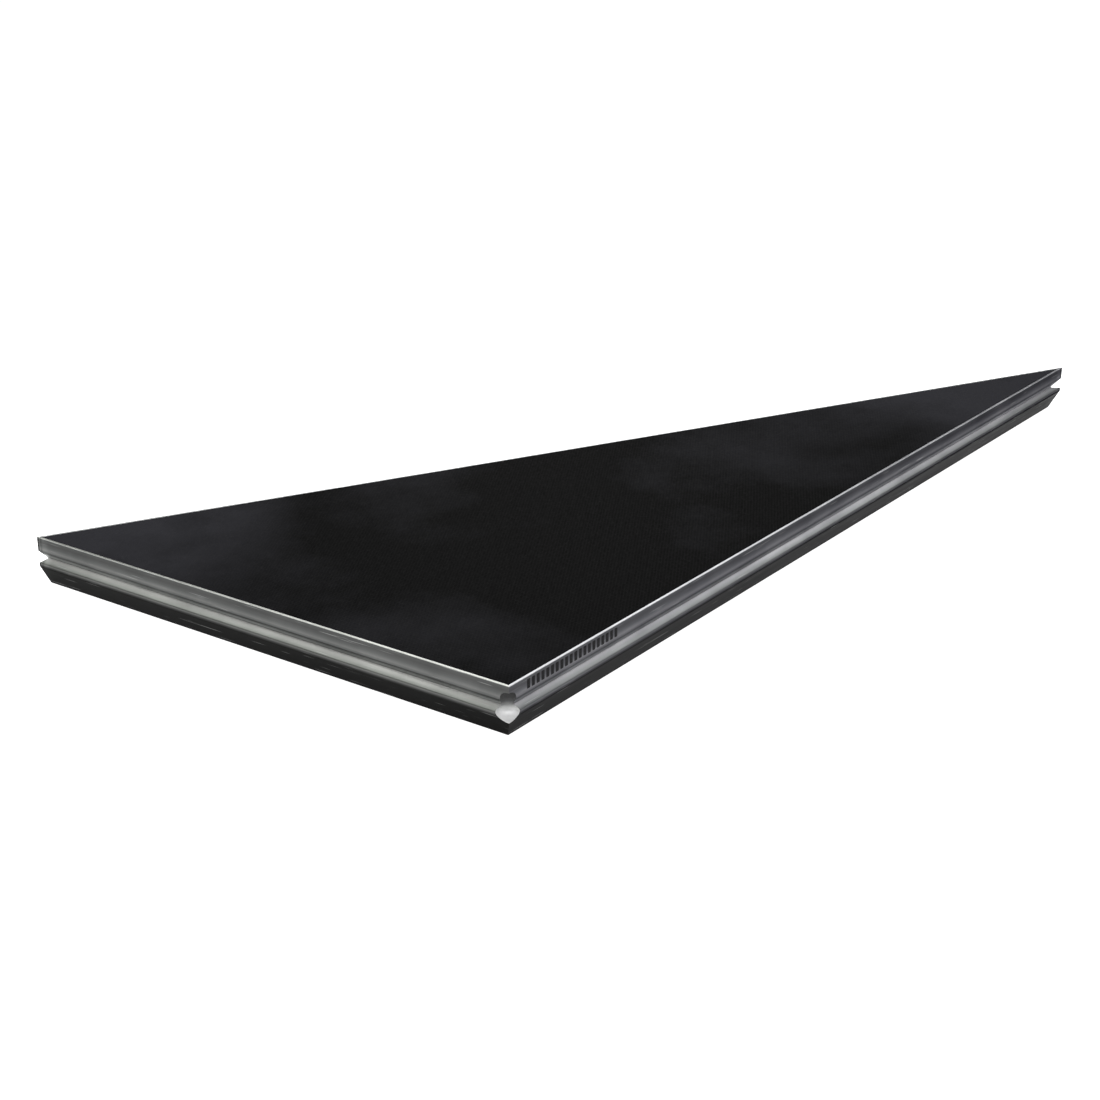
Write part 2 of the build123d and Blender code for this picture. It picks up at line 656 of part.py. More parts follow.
# Top panel, its sealant and its screws
all_rail_points = [point for points in rail_points.values() for point in points]
all_bar_points = [point for points in bar_points.values() for point in points]
panel = slab(inset_triangle(RIM_WIDTH + SEAL_WIDTH), LEDGE_Z, DECK_HEIGHT)
write(panel - [pilot_hole(point) for point in all_rail_points + all_bar_points], "top_panel")
seal = inset_triangle(RIM_WIDTH) - inset_triangle(RIM_WIDTH + SEAL_WIDTH)
write(slab(seal, SEAL_BOTTOM, DECK_HEIGHT - SEAL_RECESS), "edge_seal")
write(Compound([panel_screw(point) for point in all_rail_points]), "rail_panel_screws")
write(Compound([panel_screw(point) for point in all_bar_points]), "crossbar_panel_screws")
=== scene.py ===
# %% [markdown]
# # A triangular stage deck
#
# This lesson dresses a finished engineering model. The model comes first: every solid is
# already in its place, in metres, and stays there. What Blender adds is what a measured
# solid lacks: rounded extrusion edges, real screw threads, cast and rolled metal, and the
# coated plywood that people walk on.
#
# The first cell loads the model and keeps its outer box, from which the deck's sides and
# corners are found.

# %% Load the frame
import json
import math

import bmesh
import bpy
import numpy as np
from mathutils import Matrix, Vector


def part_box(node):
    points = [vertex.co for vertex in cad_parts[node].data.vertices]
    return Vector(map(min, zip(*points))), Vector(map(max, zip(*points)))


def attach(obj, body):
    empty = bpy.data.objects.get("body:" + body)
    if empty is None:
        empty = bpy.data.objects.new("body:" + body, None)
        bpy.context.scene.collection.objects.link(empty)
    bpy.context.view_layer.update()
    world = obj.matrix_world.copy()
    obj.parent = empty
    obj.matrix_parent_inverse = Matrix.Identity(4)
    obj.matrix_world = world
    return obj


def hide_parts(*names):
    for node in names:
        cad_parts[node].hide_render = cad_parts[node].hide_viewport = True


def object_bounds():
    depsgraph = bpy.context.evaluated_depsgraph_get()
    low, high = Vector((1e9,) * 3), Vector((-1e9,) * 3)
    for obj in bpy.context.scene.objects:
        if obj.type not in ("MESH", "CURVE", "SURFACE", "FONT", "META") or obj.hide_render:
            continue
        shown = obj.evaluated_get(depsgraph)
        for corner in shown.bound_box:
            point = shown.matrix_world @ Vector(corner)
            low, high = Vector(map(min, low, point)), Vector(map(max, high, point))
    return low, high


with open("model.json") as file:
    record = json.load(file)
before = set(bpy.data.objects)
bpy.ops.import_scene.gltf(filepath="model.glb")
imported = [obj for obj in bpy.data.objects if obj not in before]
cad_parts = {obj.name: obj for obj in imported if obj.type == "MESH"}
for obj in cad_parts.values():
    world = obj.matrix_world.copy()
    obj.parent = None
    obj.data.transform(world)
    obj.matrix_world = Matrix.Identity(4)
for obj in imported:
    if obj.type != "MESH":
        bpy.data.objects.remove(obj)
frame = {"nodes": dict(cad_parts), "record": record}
cad_box = [list(corner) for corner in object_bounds()]
MM = 0.001
print("nodes:", len(frame["nodes"]), "box:", cad_box)

# %% [markdown]
# ## The deck as three sides
#
# The plan is a right-angled triangle. Everything on the frame is easiest to place with
# three numbers: how far along a side it is, how far in from the outer face, and how high.
# A small class turns those three numbers into points. It works on whole arrays, so one
# call places a complete rail. The incentre is the point equally far from all three sides:
# whatever is moved in from the edge by a constant depth slides straight towards it.

# %% Sides and corners
low, high = (np.array(corner) for corner in cad_box)
DECK_TOP = high[2]
FRONT = np.array([low[0], low[1]])
TIP = np.array([high[0], low[1]])
SIDE = np.array([low[0], high[1]])


class Side:
    """One side of the plan triangle, with the deck on the left of its direction."""

    def __init__(self, start, end, start_angle, end_angle):
        self.start, self.length = start, float(np.linalg.norm(end - start))
        self.along = (end - start) / self.length
        self.inward = np.array([-self.along[1], self.along[0]])
        self.turn = math.atan2(self.along[1], self.along[0])
        self.start_slope = 1 / math.tan(start_angle / 2)
        self.end_slope = 1 / math.tan(end_angle / 2)

    def points(self, s, d, z):
        """Start of the side, plus s along it, plus d inwards, at height z."""
        s, d, z = np.broadcast_arrays(s, d, z)
        plan = self.start + s[..., None] * self.along + d[..., None] * self.inward
        return np.concatenate([plan, z[..., None]], axis=-1)


SHORT_LENGTH, LONG_LENGTH = high[1] - low[1], high[0] - low[0]
SQUARE_ANGLE = math.pi / 2
TIP_ANGLE = math.atan(SHORT_LENGTH / LONG_LENGTH)
SIDE_ANGLE = SQUARE_ANGLE - TIP_ANGLE
sides = {
    "long": Side(FRONT, TIP, SQUARE_ANGLE, TIP_ANGLE),
    "diagonal": Side(TIP, SIDE, TIP_ANGLE, SIDE_ANGLE),
    "short": Side(SIDE, FRONT, SIDE_ANGLE, SQUARE_ANGLE),
}
corner_points = {"square": FRONT, "tip": TIP, "side": SIDE}
corner_angles = {"square": SQUARE_ANGLE, "tip": TIP_ANGLE, "side": SIDE_ANGLE}
INRADIUS = LONG_LENGTH * SHORT_LENGTH / sum(side.length for side in sides.values())
INCENTRE = FRONT + INRADIUS
print({name: round(side.length, 3) for name, side in sides.items()})

# %% [markdown]
# ## From grids to meshes
#
# Nearly every new piece here is a surface of two parameters: rows run along something and
# columns run round it. Two helpers are enough. One turns such grids into a closed mesh. The
# other puts the mesh in the scene, smooths what is round, keeps what is sharp, hangs the
# piece on the body it rides on, and hides the nodes it stands for.


# %% Mesh helpers
def grid_faces(rows, columns, first):
    """Quads of a grid whose columns close on themselves, as rows of four indices."""
    index = first + np.arange(rows * columns).reshape(rows, columns)
    beside = np.roll(index, -1, axis=1)
    return np.stack([index[:-1], beside[:-1], beside[1:], index[1:]], axis=-1).reshape(-1, 4)


def closed_mesh(name, grids):
    """Each grid becomes a tube: its columns wrap round, its first and last rows are capped."""
    points, faces, first = [], [], 0
    for grid in grids:
        rows, columns = grid.shape[:2]
        points.append(grid.reshape(-1, 3))
        faces += grid_faces(rows, columns, first).tolist()
        last = first + (rows - 1) * columns
        faces += [list(range(first + columns - 1, first - 1, -1)),
                  list(range(last, last + columns))]
        first += rows * columns
    mesh = bpy.data.meshes.new(name)
    mesh.from_pydata(np.concatenate(points).tolist(), [], faces)
    return outward(mesh)


def outward(mesh):
    """The same mesh with every face of each closed shell pointing out of it."""
    work = bmesh.new()
    work.from_mesh(mesh)
    bmesh.ops.recalc_face_normals(work, faces=work.faces)
    work.to_mesh(mesh)
    work.free()
    return mesh


def put(name, mesh, body, material, stands_for=(), bevel=0.0, sharp=28.0):
    """Adds a piece: smooth where it is round, sharp past an angle, its edges eased if asked."""
    piece = bpy.data.objects.new(name, mesh)
    bpy.context.scene.collection.objects.link(piece)
    mesh.polygons.foreach_set("use_smooth", np.ones(len(mesh.polygons), bool))
    mesh.set_sharp_from_angle(angle=math.radians(sharp))
    if not mesh.materials:
        mesh.materials.append(material)
    if bevel:
        ease = piece.modifiers.new("eased edges", "BEVEL")
        ease.width, ease.segments = bevel, 2
        ease.limit_method, ease.angle_limit = "ANGLE", math.radians(sharp)
        ease.harden_normals = True
    even = piece.modifiers.new("even shading", "WEIGHTED_NORMAL")
    even.keep_sharp = True
    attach(piece, body)
    if stands_for:
        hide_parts(*stands_for)
    return piece


print("mesh helpers ready")

# %% [markdown]
# ## Colour and node helpers
#
# Colours are written the way a paint or web chart gives them, as sRGB hex, and one function
# turns them into the linear values that a shader wants. One more function adds any node
# with its settings and its links, so a material reads as a short list.


# %% Material helpers
def paint(code):
    """A hex colour in linear light: each channel undoes the sRGB curve."""
    channels = np.array([int(code[i:i + 2], 16) for i in (1, 3, 5)]) / 255
    linear = np.where(channels <= 0.04045, channels / 12.92, ((channels + 0.055) / 1.055) ** 2.4)
    return (*linear.tolist(), 1.0)


def add(tree, kind, inputs=None, **settings):
    """A node of a kind, with settings; an input given as a socket is linked, else it is set."""
    node = tree.nodes.new(kind)
    for key, value in settings.items():
        setattr(node, key, value)
    for key, value in (inputs or {}).items():
        if isinstance(value, bpy.types.NodeSocket):
            tree.links.new(value, node.inputs[key])
        else:
            node.inputs[key].default_value = value
    return node


def new_material(name, **constants):
    """An empty material with a Principled shader whose plain values are set on its sockets."""
    material = bpy.data.materials.new(name)
    material.use_nodes = True
    tree = material.node_tree
    shader = tree.nodes["Principled BSDF"]
    for key, value in constants.items():
        shader.inputs[key.replace("_", " ")].default_value = value
    return material, tree, shader


def link(tree, shader, **sources):
    """Feeds sockets of the shader from other nodes' outputs."""
    for key, source in sources.items():
        tree.links.new(source, shader.inputs[key.replace("_", " ")])


print("material helpers ready")

# %% [markdown]
# ## Mill-finish aluminium extrusion
#
# The rails and crossbars are aluminium pushed hot through a steel die and left as they
# came. The eye reads that from fine die lines that run the whole length of the bar, and
# from a soft, grey, uneven shine. On a rail's outer face, light and shade are painted into
# the colour by height: a painted highlight on the rim, lighter and darker bands of painted
# light across the groove and the nose, and painted shade that turns the foot nearly black.
#
# Real die lines are a few tenths of a millimetre apart, too fine to show on a two-metre
# deck, so they are drawn about 2 mm apart. The Mapping node turns each pattern so that it
# runs along its own bar. A rail's painted light and shade is a colour ramp over its height,
# multiplied by a second ramp of painted shade and highlight over the distance to the
# nearer welded corner.

# %% Extruded aluminium
LINE_SPACING = 2.0 * MM
LINE_STRETCH = 0.02
BLOTCH_SIZE = 90 * MM
SCRATCH_LENGTH, SCRATCH_WIDTH = 45 * MM, 1.1 * MM
SCRATCH_TILT = (0.0, 0.35, 0.2)
PLAIN_TONE, SCRATCH_TONE = "#8d8e90", "#dcdddc"
OUTSIDE_TO, INSIDE_FROM = 10 * MM, 12 * MM
# The outer face of the foot is not metallic below these heights, so its painted shade stays dark
FOOT_SHADE_LOW, FOOT_SHADE_HIGH = 27 * MM, 31 * MM
# Painted light and shade up the rail's outer face: height over the foot in mm, then colour
RAIL_PAINTED_LIGHT_TONES = (
    (0.0, "#0f0f0f"), (26.0, "#141414"), (29.0, "#1e1e1e"), (32.0, "#3e3e3f"),
    (34.0, "#5a5a5b"), (36.5, "#606260"), (38.5, "#767876"), (41.0, "#828382"),
    (44.8, "#929292"), (50.0, "#bebfc2"), (55.0, "#707172"), (57.6, "#555657"),
    (59.5, "#555657"), (62.5, "#666667"), (68.0, "#535455"), (75.0, "#474748"),
    (81.8, "#4d4e4f"), (82.5, "#c2c3c2"),
)
# Painted shade and highlight from a sharp corner inwards, in mm, before the gain: a darker
# strip of painted shade, a fine painted highlight line, a brighter painted glint, then the
# bar's own tone
CORNER_SHADING_REACH, CORNER_SHADING_GAIN = 30.0 * MM, 2.0
CORNER_SHADING_TONES = (
    (0.0, "#949494"), (4.6, "#949494"), (5.2, "#f0f0f0"), (6.2, "#f0f0f0"), (7.0, "#a8a8a8"),
    (10.0, "#bcbcbc"), (14.0, "#d8d8d8"), (20.0, "#d0d0d0"), (28.0, "#bcbcbc"),
)


def tone_ramp(tree, distance, reach, tones):
    """A colour ramp over a distance up to a reach, from stops in mm and hex colours."""
    share = add(tree, "ShaderNodeMath", {0: distance, 1: reach}, operation="DIVIDE")
    node = add(tree, "ShaderNodeValToRGB", {0: share.outputs[0]})
    ramp = node.color_ramp.elements
    for stop, code in tones[2:]:
        ramp.new(stop * MM / reach)
    for element, (stop, code) in zip(ramp, tones):
        element.position, element.color = stop * MM / reach, paint(code)
    return node.outputs[0]


def rail_painted_light(tree, place, local):
    """A rail's colour, with light and shade painted in by height and by distance to the nearer
    sharp corner, and how metallic it is: all of it but the outer face of the foot, which holds
    painted shade."""
    axes = add(tree, "ShaderNodeSeparateXYZ", {0: local}).outputs
    upright = tone_ramp(tree, axes["Z"], DECK_TOP, RAIL_PAINTED_LIGHT_TONES)
    plan = add(tree, "ShaderNodeVectorMath", {0: place, 1: (1, 1, 0)}, operation="MULTIPLY")
    from_tip, from_side = (add(tree, "ShaderNodeVectorMath", {
        0: plan.outputs[0], 1: (*corner, 0)}, operation="DISTANCE").outputs["Value"]
        for corner in (TIP, SIDE))
    nearer = add(tree, "ShaderNodeMath", {0: from_tip, 1: from_side}, operation="MINIMUM")
    # Painted shade and highlight near the tip and side corners
    corner_shading = tone_ramp(tree, nearer.outputs[0], CORNER_SHADING_REACH, CORNER_SHADING_TONES)
    both = add(tree, "ShaderNodeVectorMath", {0: upright, 1: corner_shading}, operation="MULTIPLY")
    tone = add(tree, "ShaderNodeVectorMath", {0: both.outputs[0], "Scale": CORNER_SHADING_GAIN},
               operation="SCALE").outputs[0]
    outside = add(tree, "ShaderNodeMapRange", {
        "Value": axes["Y"], "From Min": INSIDE_FROM, "From Max": OUTSIDE_TO}).outputs[0]
    base = add(tree, "ShaderNodeMix", {
        "Factor": outside, 6: paint(PLAIN_TONE), 7: tone}, data_type="RGBA").outputs[2]
    # Painted shade: the foot's outer face is not metallic
    above_foot_shade = add(tree, "ShaderNodeMapRange", {
        "Value": axes["Z"], "From Min": FOOT_SHADE_LOW, "From Max": FOOT_SHADE_HIGH})
    inside = add(tree, "ShaderNodeMath", {0: 1.0, 1: outside}, operation="SUBTRACT")
    bare = add(tree, "ShaderNodeMath", {0: above_foot_shade.outputs[0], 1: inside.outputs[0]},
               operation="MAXIMUM").outputs[0]
    return base, bare


def extruded_aluminium(name, start, turn, casts=("#f7f7fb", "#fbfbf7"), with_painted_light=False):
    """Die lines along local X, with blotches and scratches. A rail also gets painted light and
    shade on its outer face.
    """
    material, tree, shader = new_material(
        name, Metallic=1.0, Specular_IOR_Level=0.02, Specular_Tint=paint("#8f8f8f"))
    place = add(tree, "ShaderNodeTexCoord").outputs["Object"]
    moved = add(tree, "ShaderNodeVectorMath", {0: place, 1: (start[0], start[1], 0)},
                operation="SUBTRACT").outputs[0]
    local = add(tree, "ShaderNodeMapping", {"Vector": moved, "Rotation": (0, 0, -turn)},
                vector_type="POINT").outputs[0]
    stretched = add(tree, "ShaderNodeMapping", {
        "Vector": local,
        "Scale": (LINE_STRETCH / LINE_SPACING, 1 / LINE_SPACING, 1 / LINE_SPACING)})
    lines = add(tree, "ShaderNodeTexNoise", {
        "Vector": stretched.outputs[0], "Scale": 0.5, "Detail": 3.0, "Roughness": 0.6}).outputs[0]
    blotches = add(tree, "ShaderNodeTexNoise", {
        "Vector": local, "Scale": 1 / BLOTCH_SIZE, "Detail": 4.0, "Roughness": 0.55}).outputs[0]
    slanted = add(tree, "ShaderNodeMapping", {
        "Vector": local, "Rotation": SCRATCH_TILT,
        "Scale": (1 / SCRATCH_LENGTH, 1 / SCRATCH_WIDTH, 1 / SCRATCH_WIDTH)})
    scratches = add(tree, "ShaderNodeTexNoise", {
        "Vector": slanted.outputs[0], "Scale": 0.6, "Detail": 1.0}).outputs[0]
    scratch = add(tree, "ShaderNodeMapRange", {
        "Value": scratches, "From Min": 0.69, "From Max": 0.76, "To Max": 0.16}).outputs[0]
    base = paint(PLAIN_TONE)[:3]
    if with_painted_light:
        base, bare = rail_painted_light(tree, place, local)
        link(tree, shader, Metallic=bare)
    spread = add(tree, "ShaderNodeMapRange", {
        "Value": blotches, "From Min": 0.3, "From Max": 0.7, "To Min": 0.86, "To Max": 1.12})
    fine = add(tree, "ShaderNodeMapRange", {
        "Value": lines, "From Min": 0.3, "From Max": 0.7, "To Min": 0.9, "To Max": 1.08})
    shade = add(tree, "ShaderNodeMath", {0: spread.outputs[0], 1: fine.outputs[0]},
                operation="MULTIPLY").outputs[0]
    tinted = add(tree, "ShaderNodeMix", {
        "Factor": blotches, 6: paint(casts[0]), 7: paint(casts[1])}, data_type="RGBA").outputs[2]
    varied = add(tree, "ShaderNodeVectorMath", {0: base, 1: tinted}, operation="MULTIPLY")
    scaled = add(tree, "ShaderNodeVectorMath", {0: varied.outputs[0], "Scale": shade},
                 operation="SCALE").outputs[0]
    colour = add(tree, "ShaderNodeMix", {
        "Factor": scratch, 6: scaled, 7: paint(SCRATCH_TONE)}, data_type="RGBA").outputs[2]
    rough = add(tree, "ShaderNodeMapRange", {
        "Value": lines, "From Min": 0.25, "From Max": 0.75, "To Min": 0.3, "To Max": 0.46})
    bump = add(tree, "ShaderNodeBump", {
        "Height": lines, "Strength": 0.35, "Distance": 0.12 * MM})
    link(tree, shader, Base_Color=colour, Roughness=rough.outputs[0], Normal=bump.outputs[0])
    return material


# The three billets differ by a hair in colour: coolest on the long side, warmest on the short
billet_casts = {
    "long": ("#f8f7fd", "#fdfcff"), "diagonal": ("#f9f9fb", "#fbfbf9"),
    "short": ("#fdfef9", "#fbfbf6"),
}
rail_metal = {
    name: extruded_aluminium(f"mill_finish_extrusion_{name}", side.start, side.turn,
                             billet_casts[name], with_painted_light=True)
    for name, side in sides.items()
}
bar_metal = extruded_aluminium("mill_finish_extrusion_crossbar", FRONT, math.pi / 2)
print("extruded aluminium:", len(rail_metal) + 1, "materials")

# %% [markdown]
# ## Cast aluminium, zinc-plated steel, spring steel
#
# The leg sockets, shoes and corner keys are gravity castings: a sandy skin with broad dull
# patches. Bolts and screws are steel with a thin bright zinc coat, which has a faint blue
# and yellow cast. The retaining rings are spring steel, blackened in phosphate. Where a
# cutter has been, the aluminium is frosted: it scatters light almost like paint, so it is
# only partly metallic here.


# %% Castings and fasteners
# Painted light and shade up the milled pocket: a painted highlight on its floor, which faces
# the sky, and painted shade under its roof
POCKET_PAINTED_LIGHT = (
    (24.0, "#ffffff"), (33.0, "#ffffff"), (37.0, "#cfd0cf"), (45.0, "#7b7c7b"),
    (52.0, "#3c3d3d"), (58.0, "#1c1c1c"), (66.0, "#050505"),
)


def metal(name, light, dark, patch, grain, depth, rough, tones=None, metallic=1.0):
    """Two tones mixed by patches of one size, darkened by height into painted light and shade if
    tones are given, and a grain bump of another size. Sizes and the grain's depth are in mm."""
    material, tree, shader = new_material(name, Metallic=metallic)
    place = add(tree, "ShaderNodeTexCoord").outputs["Object"]
    patches = add(tree, "ShaderNodeTexNoise", {
        "Vector": place, "Scale": 1 / (patch * MM), "Detail": 3.0}).outputs[0]
    grains = add(tree, "ShaderNodeTexNoise", {
        "Vector": place, "Scale": 1 / (grain * MM), "Detail": 2.0, "Roughness": 0.6}).outputs[0]
    share = add(tree, "ShaderNodeMapRange", {
        "Value": patches, "From Min": 0.35, "From Max": 0.65}).outputs[0]
    colour = add(tree, "ShaderNodeMix", {
        "Factor": share, 6: paint(dark), 7: paint(light)}, data_type="RGBA").outputs[2]
    if tones:
        height = add(tree, "ShaderNodeSeparateXYZ", {0: place}).outputs["Z"]
        tone = tone_ramp(tree, height, DECK_TOP, tones)
        colour = add(tree, "ShaderNodeVectorMath", {0: colour, 1: tone},
                     operation="MULTIPLY").outputs[0]
    roughness = add(tree, "ShaderNodeMapRange", {
        "Value": grains, "From Min": 0.3, "From Max": 0.7,
        "To Min": rough - 0.07, "To Max": rough + 0.09}).outputs[0]
    bump = add(tree, "ShaderNodeBump", {
        "Height": grains, "Strength": 0.5, "Distance": depth * MM}).outputs[0]
    link(tree, shader, Base_Color=colour, Roughness=roughness, Normal=bump)
    return material


cast_metal = metal("sand_cast_aluminium", "#9a9b9c", "#7c7d7f", 22, 1.1, 0.25, 0.52)
# The milled metal carries the pocket's painted light and shade by height
milled_metal = metal("milled_aluminium", "#f4f4f4", "#e2e2e2", 12, 1.4, 0.06, 0.5,
                     tones=POCKET_PAINTED_LIGHT, metallic=0.35)
zinc = metal("zinc_plated_steel", "#c3c6cb", "#b4b29f", 9, 0.8, 0.03, 0.33)
rivet_metal = metal("bright_aluminium_rivet", "#c9cacb", "#b3b4b6", 8, 0.7, 0.02, 0.3)
phosphate = metal("phosphated_spring_steel", "#37373a", "#262628", 5, 0.5, 0.02, 0.5)
weld_metal = metal("weld_bead_aluminium", "#c4c5c4", "#8f908f", 6, 0.9, 0.05, 0.36)
print("cast, milled, zinc, rivet, phosphate, weld")

# %% [markdown]
# ## Anti-slip plywood
#
# The top is birch plywood with a dark phenolic film pressed on under heat. A woven wire
# mesh in the press leaves a honeycomb of fine ridges for grip. Three cosine waves, 120
# degrees apart, add up to exactly such a lattice, so no image is needed. Real mesh is about
# 5 mm across; here it is 6 mm, so that it just shows. The film scatters light and hardly
# shines. Pale dust lies in broad drifts, and near the two sharp corners a painted sheen
# lightens the film further. The same panel shows its smooth brown film from beneath, and
# its bare layers at the edge, so one material mixes three faces by height.

# %% Phenolic film
MESH_PITCH = 6.0 * MM
RIDGE_HEIGHT = 0.3 * MM
DRIFT_SIZE, SPECK_SIZE, VENEER_SCALE = 450 * MM, 7 * MM, 1 / (9 * MM)
# Corner, and how far from it the painted sheen reaches, in metres
SHEEN_CORNERS = ((SIDE, 0.45), (TIP, 0.72))
SHEEN_CORE = 0.05
PANEL_LOW, PANEL_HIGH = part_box("top_panel")


def phenolic_plywood():
    """Ridges where three plane waves cancel; pale drifts over the film, and a painted sheen near
    two corners; brown film beneath.
    """
    material, tree, shader = new_material("phenolic_film_plywood", Specular_IOR_Level=0.004)
    place = add(tree, "ShaderNodeTexCoord").outputs["Object"]
    wave = 4 * math.pi / (math.sqrt(3) * MESH_PITCH)
    total = None
    for angle in (0.0, 2 * math.pi / 3, 4 * math.pi / 3):
        phase = add(tree, "ShaderNodeVectorMath", {
            0: place, 1: (wave * math.cos(angle), wave * math.sin(angle), 0)},
            operation="DOT_PRODUCT").outputs["Value"]
        crest = add(tree, "ShaderNodeMath", {0: phase}, operation="COSINE").outputs[0]
        if total is None:
            total = crest
        else:
            total = add(tree, "ShaderNodeMath", {0: total, 1: crest}).outputs[0]
    ridge = add(tree, "ShaderNodeMapRange", {
        "Value": total, "From Min": 0.2, "From Max": -1.2}, interpolation_type="SMOOTHSTEP")
    drifts = add(tree, "ShaderNodeTexNoise", {
        "Vector": place, "Scale": 1 / DRIFT_SIZE, "Detail": 5.0, "Roughness": 0.6}).outputs[0]
    specks = add(tree, "ShaderNodeTexNoise", {
        "Vector": place, "Scale": 1 / SPECK_SIZE, "Detail": 3.0}).outputs[0]
    # A painted sheen near each of the two sharp corners
    corner_sheen = None
    for corner, reach in SHEEN_CORNERS:
        away = add(tree, "ShaderNodeVectorMath", {
            0: place, 1: (*corner, DECK_TOP)}, operation="DISTANCE").outputs["Value"]
        near = add(tree, "ShaderNodeMapRange", {
            "Value": away, "From Min": reach, "From Max": SHEEN_CORE}).outputs[0]
        corner_sheen = near if corner_sheen is None else add(
            tree, "ShaderNodeMath", {0: corner_sheen, 1: near}).outputs[0]
    drifts_and_sheen = add(tree, "ShaderNodeMath", {0: drifts, 1: corner_sheen, 2: drifts},
                  operation="MULTIPLY_ADD").outputs[0]
    dust_and_sheen = add(tree, "ShaderNodeMapRange", {
        "Value": drifts_and_sheen, "From Min": 0.47, "From Max": 0.95}).outputs[0]
    film = add(tree, "ShaderNodeMix", {
        "Factor": ridge.outputs[0], 6: paint("#090909"), 7: paint("#131313")},
        data_type="RGBA").outputs[2]
    # Pale drifts of dust over the film, strengthened near the corners by a painted sheen
    dusty_and_sheened = add(tree, "ShaderNodeMix", {
        "Factor": dust_and_sheen, 6: film, 7: paint("#29292c")}, data_type="RGBA").outputs[2]
    height = add(tree, "ShaderNodeSeparateXYZ", {0: place}).outputs["Z"]
    on_top = add(tree, "ShaderNodeMapRange", {
        "Value": height, "From Min": PANEL_HIGH.z - 0.6 * MM,
        "From Max": PANEL_HIGH.z - 0.4 * MM}).outputs[0]
    above_film = add(tree, "ShaderNodeMapRange", {
        "Value": height, "From Min": PANEL_LOW.z + 0.3 * MM,
        "From Max": PANEL_LOW.z + 0.4 * MM}).outputs[0]
    layers = add(tree, "ShaderNodeTexWave", {
        "Vector": place, "Scale": VENEER_SCALE, "Distortion": 0.4}, bands_direction="Z")
    bare = add(tree, "ShaderNodeMix", {
        "Factor": layers.outputs["Fac"], 6: paint("#7a5a3a"), 7: paint("#b08a5c")},
        data_type="RGBA").outputs[2]
    below = add(tree, "ShaderNodeMix", {
        "Factor": specks, 6: paint("#3b2619"), 7: paint("#553a27")}, data_type="RGBA").outputs[2]
    sides_and_below = add(tree, "ShaderNodeMix", {
        "Factor": above_film, 6: below, 7: bare}, data_type="RGBA").outputs[2]
    colour = add(tree, "ShaderNodeMix", {
        "Factor": on_top, 6: sides_and_below, 7: dusty_and_sheened}, data_type="RGBA").outputs[2]
    rough = add(tree, "ShaderNodeMapRange", {
        "Value": specks, "From Min": 0.3, "From Max": 0.7, "To Min": 0.55, "To Max": 0.75})
    grip = add(tree, "ShaderNodeMath", {0: ridge.outputs[0], 1: on_top}, operation="MULTIPLY")
    bump = add(tree, "ShaderNodeBump", {
        "Height": grip.outputs[0], "Strength": 0.8, "Distance": RIDGE_HEIGHT}).outputs[0]
    link(tree, shader, Base_Color=colour, Roughness=rough.outputs[0], Normal=bump)
    return material


panel = frame["nodes"]["top_panel"]
panel.data.materials.clear()
panel.data.materials.append(phenolic_plywood())
print("panel", round((PANEL_HIGH.z - PANEL_LOW.z) / MM, 2), "mm thick")

# %% [markdown]
# ## Sealant and printing ink
#
# Two simple finishes are left. The joint round the panel is black polyurethane sealant,
# tooled with a wet finger, so it is satin and a little wavy. The mark on the long rail is
# screen-printed ink: matt, thin, and slightly worn.


# %% Rubber and ink
def soft_black(name, code, worn, size, rough, depth):
    """A dark coating with worn patches and a faint undulation; size and depth are in mm."""
    material, tree, shader = new_material(name, Specular_IOR_Level=0.05)
    place = add(tree, "ShaderNodeTexCoord").outputs["Object"]
    patches = add(tree, "ShaderNodeTexNoise", {
        "Vector": place, "Scale": 1 / (size * MM), "Detail": 4.0, "Roughness": 0.7}).outputs[0]
    share = add(tree, "ShaderNodeMapRange", {
        "Value": patches, "From Min": 0.5, "From Max": 0.72}).outputs[0]
    colour = add(tree, "ShaderNodeMix", {
        "Factor": share, 6: paint(code), 7: paint(worn)}, data_type="RGBA").outputs[2]
    roughness = add(tree, "ShaderNodeMapRange", {
        "Value": patches, "To Min": rough - 0.1, "To Max": rough + 0.1}).outputs[0]
    bump = add(tree, "ShaderNodeBump", {
        "Height": patches, "Strength": 0.4, "Distance": depth * MM}).outputs[0]
    link(tree, shader, Base_Color=colour, Roughness=roughness, Normal=bump)
    return material


sealant = soft_black("polyurethane_sealant", "#0b0b0c", "#1c1c1d", 14, 0.45, 0.3)
ink = soft_black("screen_print_ink", "#0c0b0d", "#2c2b2e", 5, 0.55, 0.02)
print("sealant and ink")

# %% [markdown]
# ## The rails
#
# A rail is one outline carried along a straight line and cut off slanting at both ends, so
# that three of them close into a mitred frame. The outline is a handful of corners, each
# with a radius: the rim beside the panel, the flat face, the V groove that connectors hook
# into, the rounded nose below it, the leaning foot, the back wall, and the flange that the
# panel is screwed to.
#
# Booleans then take out the hollow, and what is milled after extruding: the pocket in the
# right-angled corner, and the countersinks in the foot. They are taken one after another,
# because a boolean whose cutters overlap each other can come back empty.

